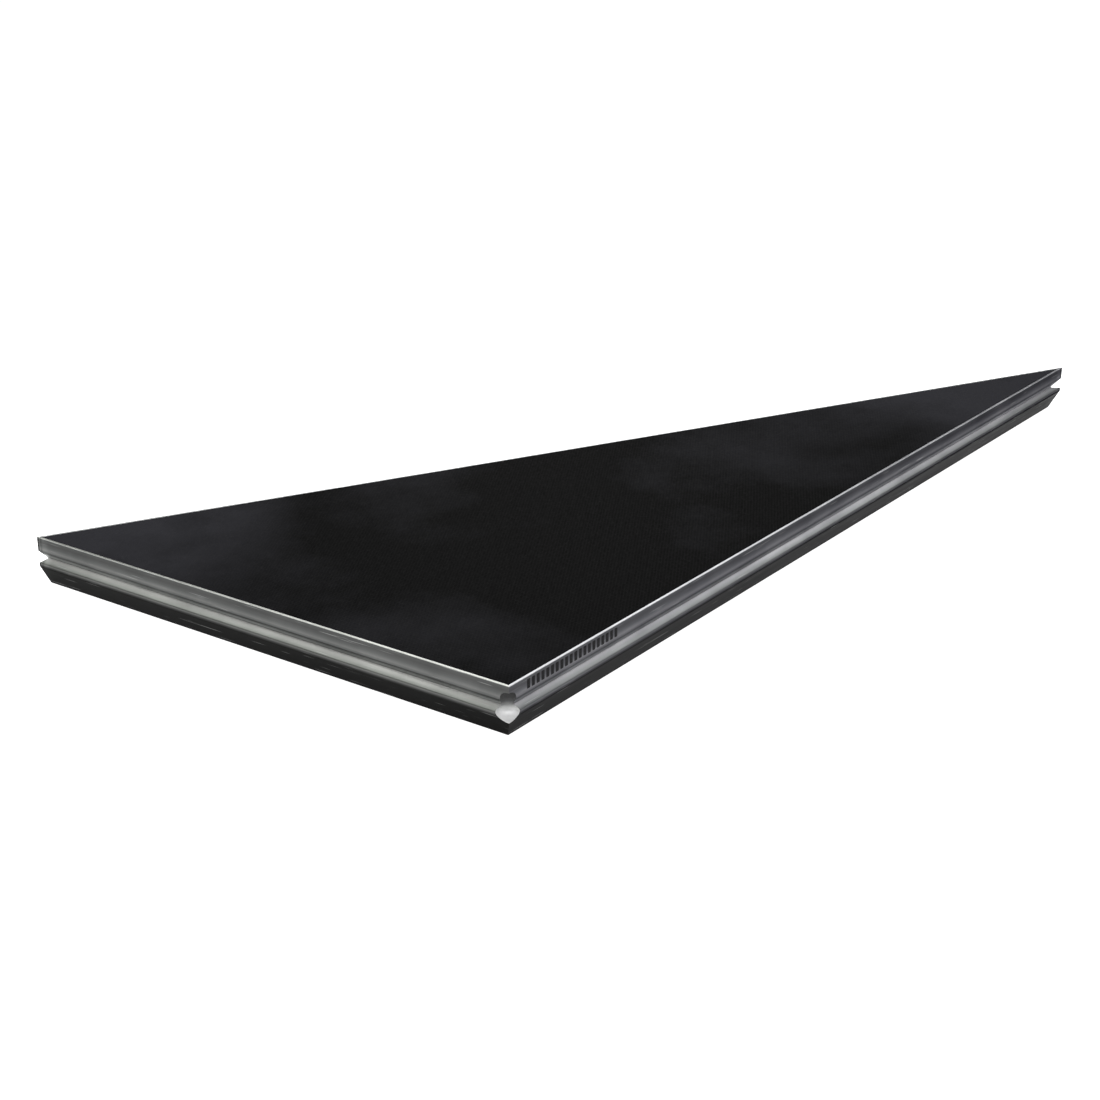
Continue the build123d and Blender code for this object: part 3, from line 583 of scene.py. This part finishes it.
# %% Rail outline
WALL = 3.0
RIM, BODY, FLANGE = 4.0, 36.0, 50.0
LEDGE, TOP = 71.0, DECK_TOP / MM
FACE_LOW, GROOVE, GROOVE_Z, NOSE_HIGH, NOSE_LOW, FOOT = 58.0, 8.8, 44.8, 36.2, 30.0, 9.0
OUTLINE = (
    (0, TOP, 0.7), (0, FACE_LOW, 1.0), (GROOVE, GROOVE_Z, 2.0), (0, NOSE_HIGH, 3.0),
    (0, NOSE_LOW, 10.0), (FOOT, 0, 1.0), (BODY, 0, 1.0), (BODY, LEDGE - WALL, 0.6),
    (FLANGE, LEDGE - WALL, 0.4), (FLANGE, LEDGE, 0.4), (RIM, LEDGE, 0.3), (RIM, TOP, 0.5),
)
HOLLOW = (
    (0, LEDGE), (0, FACE_LOW), (GROOVE, GROOVE_Z), (0, NOSE_HIGH), (0, NOSE_LOW), (FOOT, 0),
    (BODY, 0), (BODY, LEDGE),
)
ARC_STEP = math.radians(9)


def rounded(outline):
    """Each corner becomes an arc that touches both of its edges: the arc's centre lies on
    the corner's bisector, a radius away from each edge."""
    corners = np.array([corner[:2] for corner in outline], float)
    arcs = []
    for i, radius in enumerate(corner[2] for corner in outline):
        before = corners[i] - corners[i - 1]
        after = corners[(i + 1) % len(corners)] - corners[i]
        before, after = before / np.linalg.norm(before), after / np.linalg.norm(after)
        cross = before[0] * after[1] - before[1] * after[0]
        turn = math.atan2(cross, before @ after)
        touch = corners[i] - before * radius * math.tan(abs(turn) / 2)
        normal = math.copysign(1, turn) * np.array([-before[1], before[0]])
        steps = max(2, math.ceil(abs(turn) / ARC_STEP) + 1)
        angle = math.atan2(*(-normal)[::-1]) + np.linspace(0, turn, steps)
        arcs.append(touch + normal * radius
                    + radius * np.stack([np.cos(angle), np.sin(angle)], axis=1))
    return np.concatenate(arcs) * MM


def drawn_in(outline, amount):
    """The outline moved inwards: each corner slides so that both its edges move by amount."""
    corners = np.array(outline, float)
    before = corners - np.roll(corners, 1, axis=0)
    before /= np.linalg.norm(before, axis=1, keepdims=True)
    normal = np.stack([-before[:, 1], before[:, 0]], axis=1)
    after = np.roll(normal, -1, axis=0)
    dot = (normal * after).sum(axis=1, keepdims=True)
    return (corners + amount * (normal + after) / (1 + dot)) * MM


outer_loop, inner_loop = rounded(OUTLINE), drawn_in(HOLLOW, WALL)
print("outline", len(outer_loop), "points; hollow", len(inner_loop))


# %% Carry it along each side
def mitred(side, loop, beyond=0.0):
    """A grid of two rows, the loop at each mitre: a point d inwards starts d over the
    tangent of half the corner's angle further along, less what it is to reach beyond."""
    depth, height = loop[:, 0], loop[:, 1]
    starts = side.points(depth * side.start_slope - beyond, depth, height)
    ends = side.points(side.length - depth * side.end_slope + beyond, depth, height)
    return np.stack([starts, ends])


def shared_points(node):
    """A CAD node's points and triangles, once points that agree to a micrometre are one."""
    mesh = frame["nodes"][node].data
    points = np.empty(len(mesh.vertices) * 3, np.float32)
    mesh.vertices.foreach_get("co", points)
    corners = np.empty(len(mesh.loops), np.int32)
    mesh.loops.foreach_get("vertex_index", corners)
    points, index = np.unique(points.reshape(-1, 3).round(6), axis=0, return_inverse=True)
    return points, index.reshape(-1)[corners].reshape(-1, 3)


def islands(node):
    """Boxes of a node's separate solids. Vertices that share a triangle take the lowest
    label among them, again and again, until no label changes."""
    points, triangles = shared_points(node)
    label = np.arange(len(points))
    while True:
        lowest = label[triangles].min(axis=1)
        new = label.copy()
        for column in range(3):
            np.minimum.at(new, triangles[:, column], lowest)
        if (new == label).all():
            break
        label = new
    groups = [points[label == name] for name in np.unique(label[triangles])]
    return [(group.min(axis=0), group.max(axis=0)) for group in groups]


print("key screws:", len(islands("corner_key_screws")))

# %% [markdown]
# The cutters are turned shapes: a profile of radius and height, spun round an upright axis.
# The pocket is pear-shaped and centred on the outer corner edge: wide where the nose is,
# narrow under the rim. The countersinks are placed by reading where the screws already
# are. Faces that a cutter makes take the cutter's own material, as milling leaves bare
# bright metal.

# %% Milling
POCKET_PROFILE = (
    (0.4, 23.5), (9, 24.3), (17, 27.5), (22.5, 31.5), (25.2, 36.5), (24.6, 41.5), (21.5, 47),
    (18.3, 52.5), (16.8, 58), (16.2, 63), (14, 67), (10, 70), (5, 71.6), (0.4, 72),
)
SINK = np.array([(6.75, -0.6), (6.35, 0.0), (3.3, 3.05), (3.3, 4.5)]) * MM
PROFILE_STEPS, CUP_COLUMNS, SINK_COLUMNS = 6, 96, 32
HOLLOW_OVERRUN = 10 * MM


def turned(profile, centre, columns):
    """Radius and height rows spun round an upright axis, as a grid of rows and columns."""
    angle = np.linspace(0, 2 * math.pi, columns, endpoint=False)
    ring = np.stack([np.cos(angle), np.sin(angle)], axis=1)
    plan = np.array(centre)[:2] + profile[:, None, :1] * ring[None]
    height = np.broadcast_to(profile[:, None, 1:], (*plan.shape[:2], 1))
    return np.concatenate([plan, height], axis=-1)


def smooth_profile(points, steps):
    """A curve from the first point almost to the last: between two points, a cubic whose
    slopes at both ends are half the chord from the point before to the point after."""
    points = np.array(points, float)
    slope = np.gradient(points, axis=0)
    t = np.linspace(0, 1, steps, endpoint=False)[None, :, None]
    a, b, m, n = points[:-1, None], points[1:, None], slope[:-1, None], slope[1:, None]
    curve = (a * (2 * t**3 - 3 * t**2 + 1) + m * (t**3 - 2 * t**2 + t)
             + b * (3 * t**2 - 2 * t**3) + n * (t**3 - t**2))
    return curve.reshape(-1, 2) * MM


def cut(mesh, cutters, material, cut_material):
    """The mesh less a set of closed cutter shapes, with one finish for the skin and another
    for the faces that the cutters leave."""
    body = bpy.data.objects.new("body", mesh)
    tool = bpy.data.objects.new("tool", closed_mesh("tool", cutters))
    for item, finish in ((body, material), (tool, cut_material)):
        bpy.context.scene.collection.objects.link(item)
        if not item.data.materials:
            item.data.materials.append(finish)
    less = body.modifiers.new("cut", "BOOLEAN")
    less.object, less.solver, less.operation = tool, "EXACT", "DIFFERENCE"
    less.material_mode = "TRANSFER"
    graph = bpy.context.evaluated_depsgraph_get()
    result = bpy.data.meshes.new_from_object(body.evaluated_get(graph))
    bpy.data.objects.remove(body)
    bpy.data.objects.remove(tool)
    return result


screw_places = [(lowest + highest) / 2 for lowest, highest in islands("corner_key_screws")]
cup = turned(smooth_profile(POCKET_PROFILE, PROFILE_STEPS), FRONT, CUP_COLUMNS)
for name, side in sides.items():
    sinks = []
    for place in screw_places:
        inset = (place[:2] - side.start) @ side.inward
        if 0 < inset < BODY * MM:
            sinks.append(turned(SINK, place, SINK_COLUMNS))
    solid = closed_mesh(f"{name}_rail_extrusion", [mitred(side, outer_loop)])
    metals = rail_metal[name], milled_metal
    rail = cut(solid, [mitred(side, inner_loop, beyond=HOLLOW_OVERRUN)], *metals)
    if name != "diagonal":
        rail = cut(rail, [cup], *metals)
    rail = cut(rail, sinks, *metals)
    put(f"{name}_rail_extrusion", rail, "deck", rail_metal[name],
        stands_for=[f"{name}_rail"], sharp=24)
    print(name, "rail:", len(rail.polygons), "faces,", len(sinks), "countersinks")

# %% [markdown]
# ## Sealant joint
#
# The sealant fills the one-millimetre gap between rim and panel. Its outline is carried
# round the triangle: at a depth d the path's corners are the deck's corners moved in by d,
# and a point part-way along a side is that same part of the way between two of them. The
# top is hollowed like any tooled joint and wanders up and down by a few hundredths of its
# height.

# %% Sealant
SEAL_LOW, SEAL_HIGH = (box[2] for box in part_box("edge_seal"))
SEAL_STATIONS, SEAL_WANDER, SEAL_WAVES = 260, 0.02, 90
# The joint's section, from rim to panel: share of the gap, and share of the height
SEAL_ACROSS = np.array([0.0, 0.0, 0.2, 0.5, 0.8, 1.0, 1.0])
SEAL_UP = np.array([0.0, 1.0, 0.93, 0.9, 0.93, 1.0, 0.0])


def inset_corners(depth):
    """The triangle's corners moved in by depth: they slide towards the incentre."""
    corners = np.array([FRONT, TIP, SIDE])
    share = 1 - np.asarray(depth)[..., None, None] / INRADIUS
    return INCENTRE + (corners - INCENTRE) * share


def sealant_grid():
    """Columns go round the joint's section, rows go round the triangle and meet."""
    corners = inset_corners((RIM + SEAL_ACROSS) * MM)
    hollowed = (SEAL_UP > 0) & (SEAL_UP < 1)
    part = np.linspace(0, 1, SEAL_STATIONS, endpoint=False)
    rows = []
    for i in range(3):
        a, b = corners[:, i], corners[:, (i + 1) % 3]
        plan = a[None] + part[:, None, None] * (b - a)[None]
        wander = SEAL_WANDER * np.sin(part * SEAL_WAVES + i)[:, None] * hollowed
        height = SEAL_LOW + (SEAL_UP + wander) * (SEAL_HIGH - SEAL_LOW)
        rows.append(np.concatenate([plan, height[..., None]], axis=-1))
    return np.concatenate(rows)


grid = sealant_grid()
rows, columns = grid.shape[:2]
index = np.arange(rows * columns).reshape(rows, columns)
below, beside = np.roll(index, -1, axis=0), np.roll(index, -1, axis=1)
quads = np.stack([index, beside, np.roll(below, -1, axis=1), below], axis=-1).reshape(-1, 4)
seal_mesh = bpy.data.meshes.new("edge_seal_joint")
seal_mesh.from_pydata(grid.reshape(-1, 3).tolist(), [], quads.tolist())
put("edge_seal_joint", outward(seal_mesh), "deck", sealant, stands_for=["edge_seal"])
print("sealant:", rows, "stations")

# %% [markdown]
# ## Clamp screws with real threads
#
# Each leg is held by an M12 screw. A thread is a radius that rises and falls once per turn
# and once per pitch, so the radius is a function of the distance along the screw less the
# turn's share of a pitch. A hexagon is a radius too: half its width across flats, divided
# by the cosine of the angle from the middle of the nearest flat. One grid therefore holds
# the whole screw: spigot, ring groove, thread, flange and head.

# %% Clamp screws
PITCH, THREAD_ROOT, THREAD_CREST = 1.75, 5.05, 5.98
CLAMP_Z = 35.0
SCREW_COLUMNS = 72
# Stations along the screw, in mm from the bore's axis
SPIGOT_FROM, SPIGOT_TO, CHAMFER_TO = 27.6, 41.3, 28.2
RING_FROM, RING_TO = 29.0, 30.2
THREAD_FROM, THREAD_TO = 42.0, 70.5
FLANGE_FROM, SKIRT_FROM, HEAD_FROM, CROWN_FROM, HEAD_TO = 71.5, 72.6, 73.7, 80.1, 81.2
STEP = 0.01
# Radii in mm, and what the skirt and the crown lose for each mm along the screw
SPIGOT, RING_GROOVE, HALF_FLATS, FLANGE_EDGE, CROWN_EDGE = 4.0, 3.5, 9.0, 12.5, 10.15
SKIRT_SLOPE, CROWN_SLOPE = 1.6, 1.3
# The bore's axis, in from a rail's outer face: past the rail, a gap, the socket's wall and
# the bore's radius
SOCKET_GAP, SOCKET_WALL, BORE_RADIUS = 2.0, 6.5, 24.5
BORE_DEPTH = (BODY + SOCKET_GAP + SOCKET_WALL + BORE_RADIUS) * MM


def screw_radius(x, angle):
    """Radius at a distance x from the bore's axis and an angle, both as arrays."""
    phase = np.mod(x / PITCH + angle / (2 * math.pi), 1.0)
    ridge = np.clip(np.abs(phase - 0.5) * 2.5 - 0.12, 0, 1)
    fade = np.clip((x - THREAD_FROM) / 2.0, 0, 1) * np.clip((THREAD_TO - x) / 1.2, 0, 1)
    thread = THREAD_ROOT + (THREAD_CREST - THREAD_ROOT) * ridge * fade
    flat = HALF_FLATS / np.cos(np.mod(angle + math.pi / 6, math.pi / 3) - math.pi / 6)
    crown = CROWN_EDGE - np.clip(x - CROWN_FROM, 0, None) * CROWN_SLOPE
    head = np.minimum(flat, crown)
    skirt = FLANGE_EDGE - np.clip(x - SKIRT_FROM, 0, None) * SKIRT_SLOPE
    radius = np.where(x < SPIGOT_TO, SPIGOT, thread)
    radius = np.where((x > RING_FROM) & (x < RING_TO), RING_GROOVE, radius)
    radius = np.where(x < CHAMFER_TO, SPIGOT - (CHAMFER_TO - x), radius)
    radius = np.where(x >= FLANGE_FROM, skirt, radius)
    return np.where(x >= HEAD_FROM, head, radius)


def screw_grid(corner):
    """Rows along the axis, closely spaced over the thread, and doubled at each step. The
    axis lies on the corner's bisector, where both rails are a bore's depth away."""
    plain = np.array([SPIGOT_FROM, CHAMFER_TO, RING_FROM, RING_FROM + STEP, RING_TO - STEP,
                      RING_TO, SPIGOT_TO - STEP, SPIGOT_TO])
    fine = np.arange(41.5, 71.4, PITCH / 10)
    end = np.array([FLANGE_FROM - STEP, FLANGE_FROM, SKIRT_FROM, HEAD_FROM - STEP, HEAD_FROM,
                    77.0, CROWN_FROM, 80.6, HEAD_TO])
    x = np.concatenate([plain, fine, end])[:, None]
    angle = np.linspace(0, 2 * math.pi, SCREW_COLUMNS, endpoint=False)[None]
    radius = screw_radius(x, angle) * MM
    out = INCENTRE - corner_points[corner]
    out = out / np.linalg.norm(out)
    axis = corner_points[corner] + out * BORE_DEPTH / math.sin(corner_angles[corner] / 2)
    sideways = np.array([-out[1], out[0]])
    plan = axis + (x * MM)[..., None] * out + (radius * np.cos(angle))[..., None] * sideways
    height = CLAMP_Z * MM + radius * np.sin(angle)
    return np.concatenate([plan, height[..., None]], axis=-1)


for corner in corner_points:
    mesh = closed_mesh(f"clamp_screw_{corner}", [screw_grid(corner)])
    put(f"clamp_screw_{corner}", mesh, f"screw_{corner}", zinc,
        stands_for=[f"clamp_bolt_{corner}"], sharp=40)
    print("clamp screw", corner, len(mesh.polygons), "faces")

# %% [markdown]
# ## Finishing the engineer's solids
#
# Most of the solids need no new shape, only an even surface. An engineering mesh arrives as
# loose triangles. A copy with its doubled vertices merged and its flat triangles joined can
# take a small bevel, and its round faces can shade smoothly. The cast sockets get broad soft
# edges, shoes and cleats small ones, and the rest keep theirs.


# %% Copy, merge, ease
FLAT = math.radians(0.5)
CASTING_EASE, SMALL_EASE = 0.9 * MM, 0.4 * MM


def merged(node):
    """A copy of a node's mesh with equal points made one and flat neighbours joined."""
    points, triangles = shared_points(node)
    mesh = bpy.data.meshes.new(f"{node}_finished")
    mesh.from_pydata(points.tolist(), [], triangles.tolist())
    mesh.validate()
    work = bmesh.new()
    work.from_mesh(mesh)
    bmesh.ops.dissolve_limit(work, angle_limit=FLAT, verts=work.verts, edges=work.edges)
    work.to_mesh(mesh)
    work.free()
    return mesh


slots = {part["node"]: part["material_slot"] for part in frame["record"]["subparts"]}
finishes = {
    "extruded_aluminium": bar_metal, "cast_aluminium": cast_metal, "zinc_plated_steel": zinc,
    "rivet_aluminium": rivet_metal, "spring_steel": phosphate,
}
done = {"top_panel", "edge_seal", *(f"{name}_rail" for name in sides),
        *(f"clamp_bolt_{corner}" for corner in corner_points)}
bodies = {node: body for body, nodes in frame["record"]["behaviour"]["bodies"].items()
          for node in nodes}
for node in sorted(set(frame["nodes"]) - done):
    edge = 0.0
    if node.startswith("leg_socket"):
        edge = CASTING_EASE
    elif node.startswith(("clamp_shoe", "cleat_")) and "rivets" not in node:
        edge = SMALL_EASE
    # The square corner's key lines the pocket, so it takes the pocket's painted light and shade
    finish = milled_metal if node == "corner_key_square" else finishes[slots[node]]
    put(f"{node}_finished", merged(node), bodies[node], finish,
        stands_for=[node], bevel=edge)
print("finished", len(frame["nodes"]) - len(done), "solids")

# %% [markdown]
# ## Printed mark
#
# Such rails carry the maker's print near one corner. This one has only a plain row of
# upright bars in that place. Ink has thickness, if very little: each bar is a flat slab
# with rounded corners, a twentieth of a millimetre proud of the face, rooted as far in it.

# %% Printed bars
PRINT_START, PRINT_END, BAR_COUNT = 46.0, 268.0, 20
BAR_WIDTH, BAR_HEIGHT, BAR_MIDDLE = 7.4, 15.0, 70.5
BAR_ROUND, ROUND_STEPS, INK_THICKNESS = 1.2, 5, 0.05


def rounded_rectangle(width, height, radius, steps):
    """Four quarter circles, one at each corner, as one loop of points."""
    angle = np.linspace(0, math.pi / 2, steps)
    quarter = np.stack([np.cos(angle), np.sin(angle)], axis=1) * radius
    reach = np.array([width / 2 - radius, height / 2 - radius])
    turns = [((1, 1), quarter), ((-1, 1), quarter[::-1] * (-1, 1)),
             ((-1, -1), quarter * -1), ((1, -1), quarter[::-1] * (1, -1))]
    return np.concatenate([reach * sign + arc for sign, arc in turns])


def printed_bars():
    """The loop at each bar's place, once in the metal and once at the ink's surface."""
    loop = rounded_rectangle(BAR_WIDTH, BAR_HEIGHT, BAR_ROUND, ROUND_STEPS)
    grids = []
    for middle in np.linspace(PRINT_START, PRINT_END, BAR_COUNT):
        s, z = (middle + loop[:, 0]) * MM, (BAR_MIDDLE + loop[:, 1]) * MM
        depths = np.array([[INK_THICKNESS], [-INK_THICKNESS]]) * MM
        grids.append(sides["long"].points(s[None], depths, z[None]))
    return grids


put("rail_print", closed_mesh("rail_print", printed_bars()), "deck", ink)
print("printed bars:", BAR_COUNT)

# %% [markdown]
# ## Weld beads at the sharp tip
#
# The mitres are welded and then ground flush outside. Inside, the bead stays. A fillet
# weld fills the corner between two walls, and its surface is a row of overlapping crescents,
# one for each dip of the filler rod. Its size is therefore a steady leg length plus a small
# saw-tooth along it, and the crescents lag behind in the middle. One bead stands in the
# corner between the two back walls, and the other lies on the seam between the flanges.

# %% Weld beads
RIPPLE, RIPPLE_SHARE, RIPPLE_LAG = 2.6 * MM, 0.1, 0.45
BEAD_STEP, BEAD_COLUMNS, BEAD_ROOT = 0.25 * MM, 9, 0.2
WALL_LEG, FLANGE_LEG = 4.5 * MM, 2.2 * MM


def bead_grid(start, end, wall_a, wall_b, leg):
    """A quarter round between two wall directions, carried from start to end, rippled, and
    drawn in to nothing at both ends."""
    start, end = np.array(start), np.array(end)
    length = np.linalg.norm(end - start)
    v = np.linspace(0, length, int(length / BEAD_STEP))[:, None]
    across = np.linspace(0, math.pi / 2, BEAD_COLUMNS)[None]
    lag = RIPPLE_LAG * RIPPLE * np.sin(2 * across)
    ripple = np.mod((v + lag) / RIPPLE, 1.0)
    ends = np.clip(np.minimum(v, length - v) / leg, 0.02, 1)
    size = leg * (1 + RIPPLE_SHARE * ripple) * np.sqrt(ends)
    a, b = np.array(wall_a), np.array(wall_b)
    line = start + (v / length)[..., None] * (end - start)
    arc = line + size[..., None] * (np.cos(across)[..., None] * a + np.sin(across)[..., None] * b)
    root = line - BEAD_ROOT * leg * (a + b)
    return np.concatenate([arc, root], axis=1)


long_back, diagonal_out = -sides["long"].along, sides["diagonal"].along
meet, flange_meet = inset_corners(BODY * MM)[1], inset_corners(FLANGE * MM)[1]
bisector = (flange_meet - meet) / np.linalg.norm(flange_meet - meet)
across_seam = np.array([-bisector[1], bisector[0]])
flange_low = (LEDGE - WALL) * MM
beads = [
    bead_grid((*meet, 4 * MM), (*meet, (LEDGE - WALL - 1) * MM), (*long_back, 0),
              (*diagonal_out, 0), WALL_LEG),
    bead_grid((*(meet + bisector * 4 * MM), flange_low),
              (*(flange_meet - bisector * 2 * MM), flange_low),
              (*across_seam, -0.25), (*-across_seam, -0.25), FLANGE_LEG),
]
put("tip_weld", closed_mesh("tip_weld", beads), "deck", weld_metal,
    sharp=50)
print("weld beads:", len(beads))

# %% [markdown]
# ## Floor, light and camera
#
# The studio is plain: one pale floor that glows evenly, as on a product table, five square
# soft lights and a dim even surround. The overhead light gives the rim its bright line. The
# one above the front fills the groove and the pocket. Those at the back and the sides put a
# soft shine along the nose. The camera stands low in front of the right-angled corner, about
# 21 degrees above the deck.

# %% Studio
CAMERA_AZIMUTH, CAMERA_ELEVATION = math.radians(-54.01), math.radians(21.43)
CAMERA_DISTANCE, CAMERA_TARGET = 3.460, Vector((-0.369, -0.113, 0.0))
CAMERA_LENS, SENSOR = 63.75, 36.0
FLOOR_REACH, FLOOR_Z = 30.0, -0.0005
# Name, place, target, size in metres, power in watts
SOFTBOXES = (
    ("overhead", (0.3, 0.5, 4.0), (0, 0, 0), 3.0, 110),
    ("back", (3.4, 2.6, 2.2), (0, 0, 0), 2.4, 60),
    ("right", (2.6, -1.9, 1.9), (0.2, -0.5, 0), 1.8, 30),
    ("left", (-2.4, 1.9, 2.5), (-1, 0, 0), 1.8, 32),
    ("front top", (-2.6, -2.2, 3.6), (-0.8, -0.3, 0), 1.6, 70),
)


def floor():
    """A wide flat sheet of white acrylic, lit from beneath as on a product table. It is clear
    from below, so that the deck's underside can be looked at."""
    mesh = bpy.data.meshes.new("floor")
    mesh.from_pydata([(x * FLOOR_REACH, y * FLOOR_REACH, FLOOR_Z)
                      for x, y in ((-1, -1), (1, -1), (1, 1), (-1, 1))], [], [(0, 1, 2, 3)])
    piece = bpy.data.objects.new("floor", mesh)
    bpy.context.scene.collection.objects.link(piece)
    material, tree, shader = new_material("opal_acrylic", Roughness=0.9, Emission_Strength=0.8)
    shader.inputs["Base Color"].default_value = paint("#ececec")
    shader.inputs["Emission Color"].default_value = paint("#ffffff")
    below = add(tree, "ShaderNodeNewGeometry").outputs["Backfacing"]
    clear = add(tree, "ShaderNodeBsdfTransparent").outputs[0]
    both = add(tree, "ShaderNodeMixShader", {0: below, 1: shader.outputs[0], 2: clear})
    tree.links.new(both.outputs[0], tree.nodes["Material Output"].inputs["Surface"])
    mesh.materials.append(material)


def softbox(name, place, target, size, power):
    """A square area light aimed at a point."""
    light = bpy.data.lights.new(name, "AREA")
    light.shape, light.size, light.energy = "SQUARE", size, power
    lamp = bpy.data.objects.new(name, light)
    lamp.location = place
    lamp.rotation_euler = (Vector(target) - Vector(place)).to_track_quat("-Z", "Y").to_euler()
    bpy.context.scene.collection.objects.link(lamp)


def surround(code, strength):
    """An even pale surround."""
    world = bpy.data.worlds.new("surround")
    world.use_nodes = True
    background = world.node_tree.nodes["Background"]
    background.inputs["Color"].default_value = paint(code)
    background.inputs["Strength"].default_value = strength
    bpy.context.scene.world = world


def camera():
    """Stands back from the target along a direction given by azimuth and elevation."""
    a, e = CAMERA_AZIMUTH, CAMERA_ELEVATION
    back = Vector((math.sin(a) * math.cos(e), -math.cos(a) * math.cos(e), math.sin(e)))
    data = bpy.data.cameras.new("camera")
    data.lens, data.sensor_width = CAMERA_LENS, SENSOR
    eye = bpy.data.objects.new("camera", data)
    eye.location = CAMERA_TARGET + back * CAMERA_DISTANCE
    eye.rotation_euler = (-back).to_track_quat("-Z", "Y").to_euler()
    bpy.context.scene.collection.objects.link(eye)
    bpy.context.scene.camera = eye


floor()
for box in SOFTBOXES:
    softbox(*box)
surround("#f4f5f7", 0.3)
camera()
bpy.context.scene.view_settings.view_transform = "Standard"
print("studio:", len(SOFTBOXES), "softboxes")
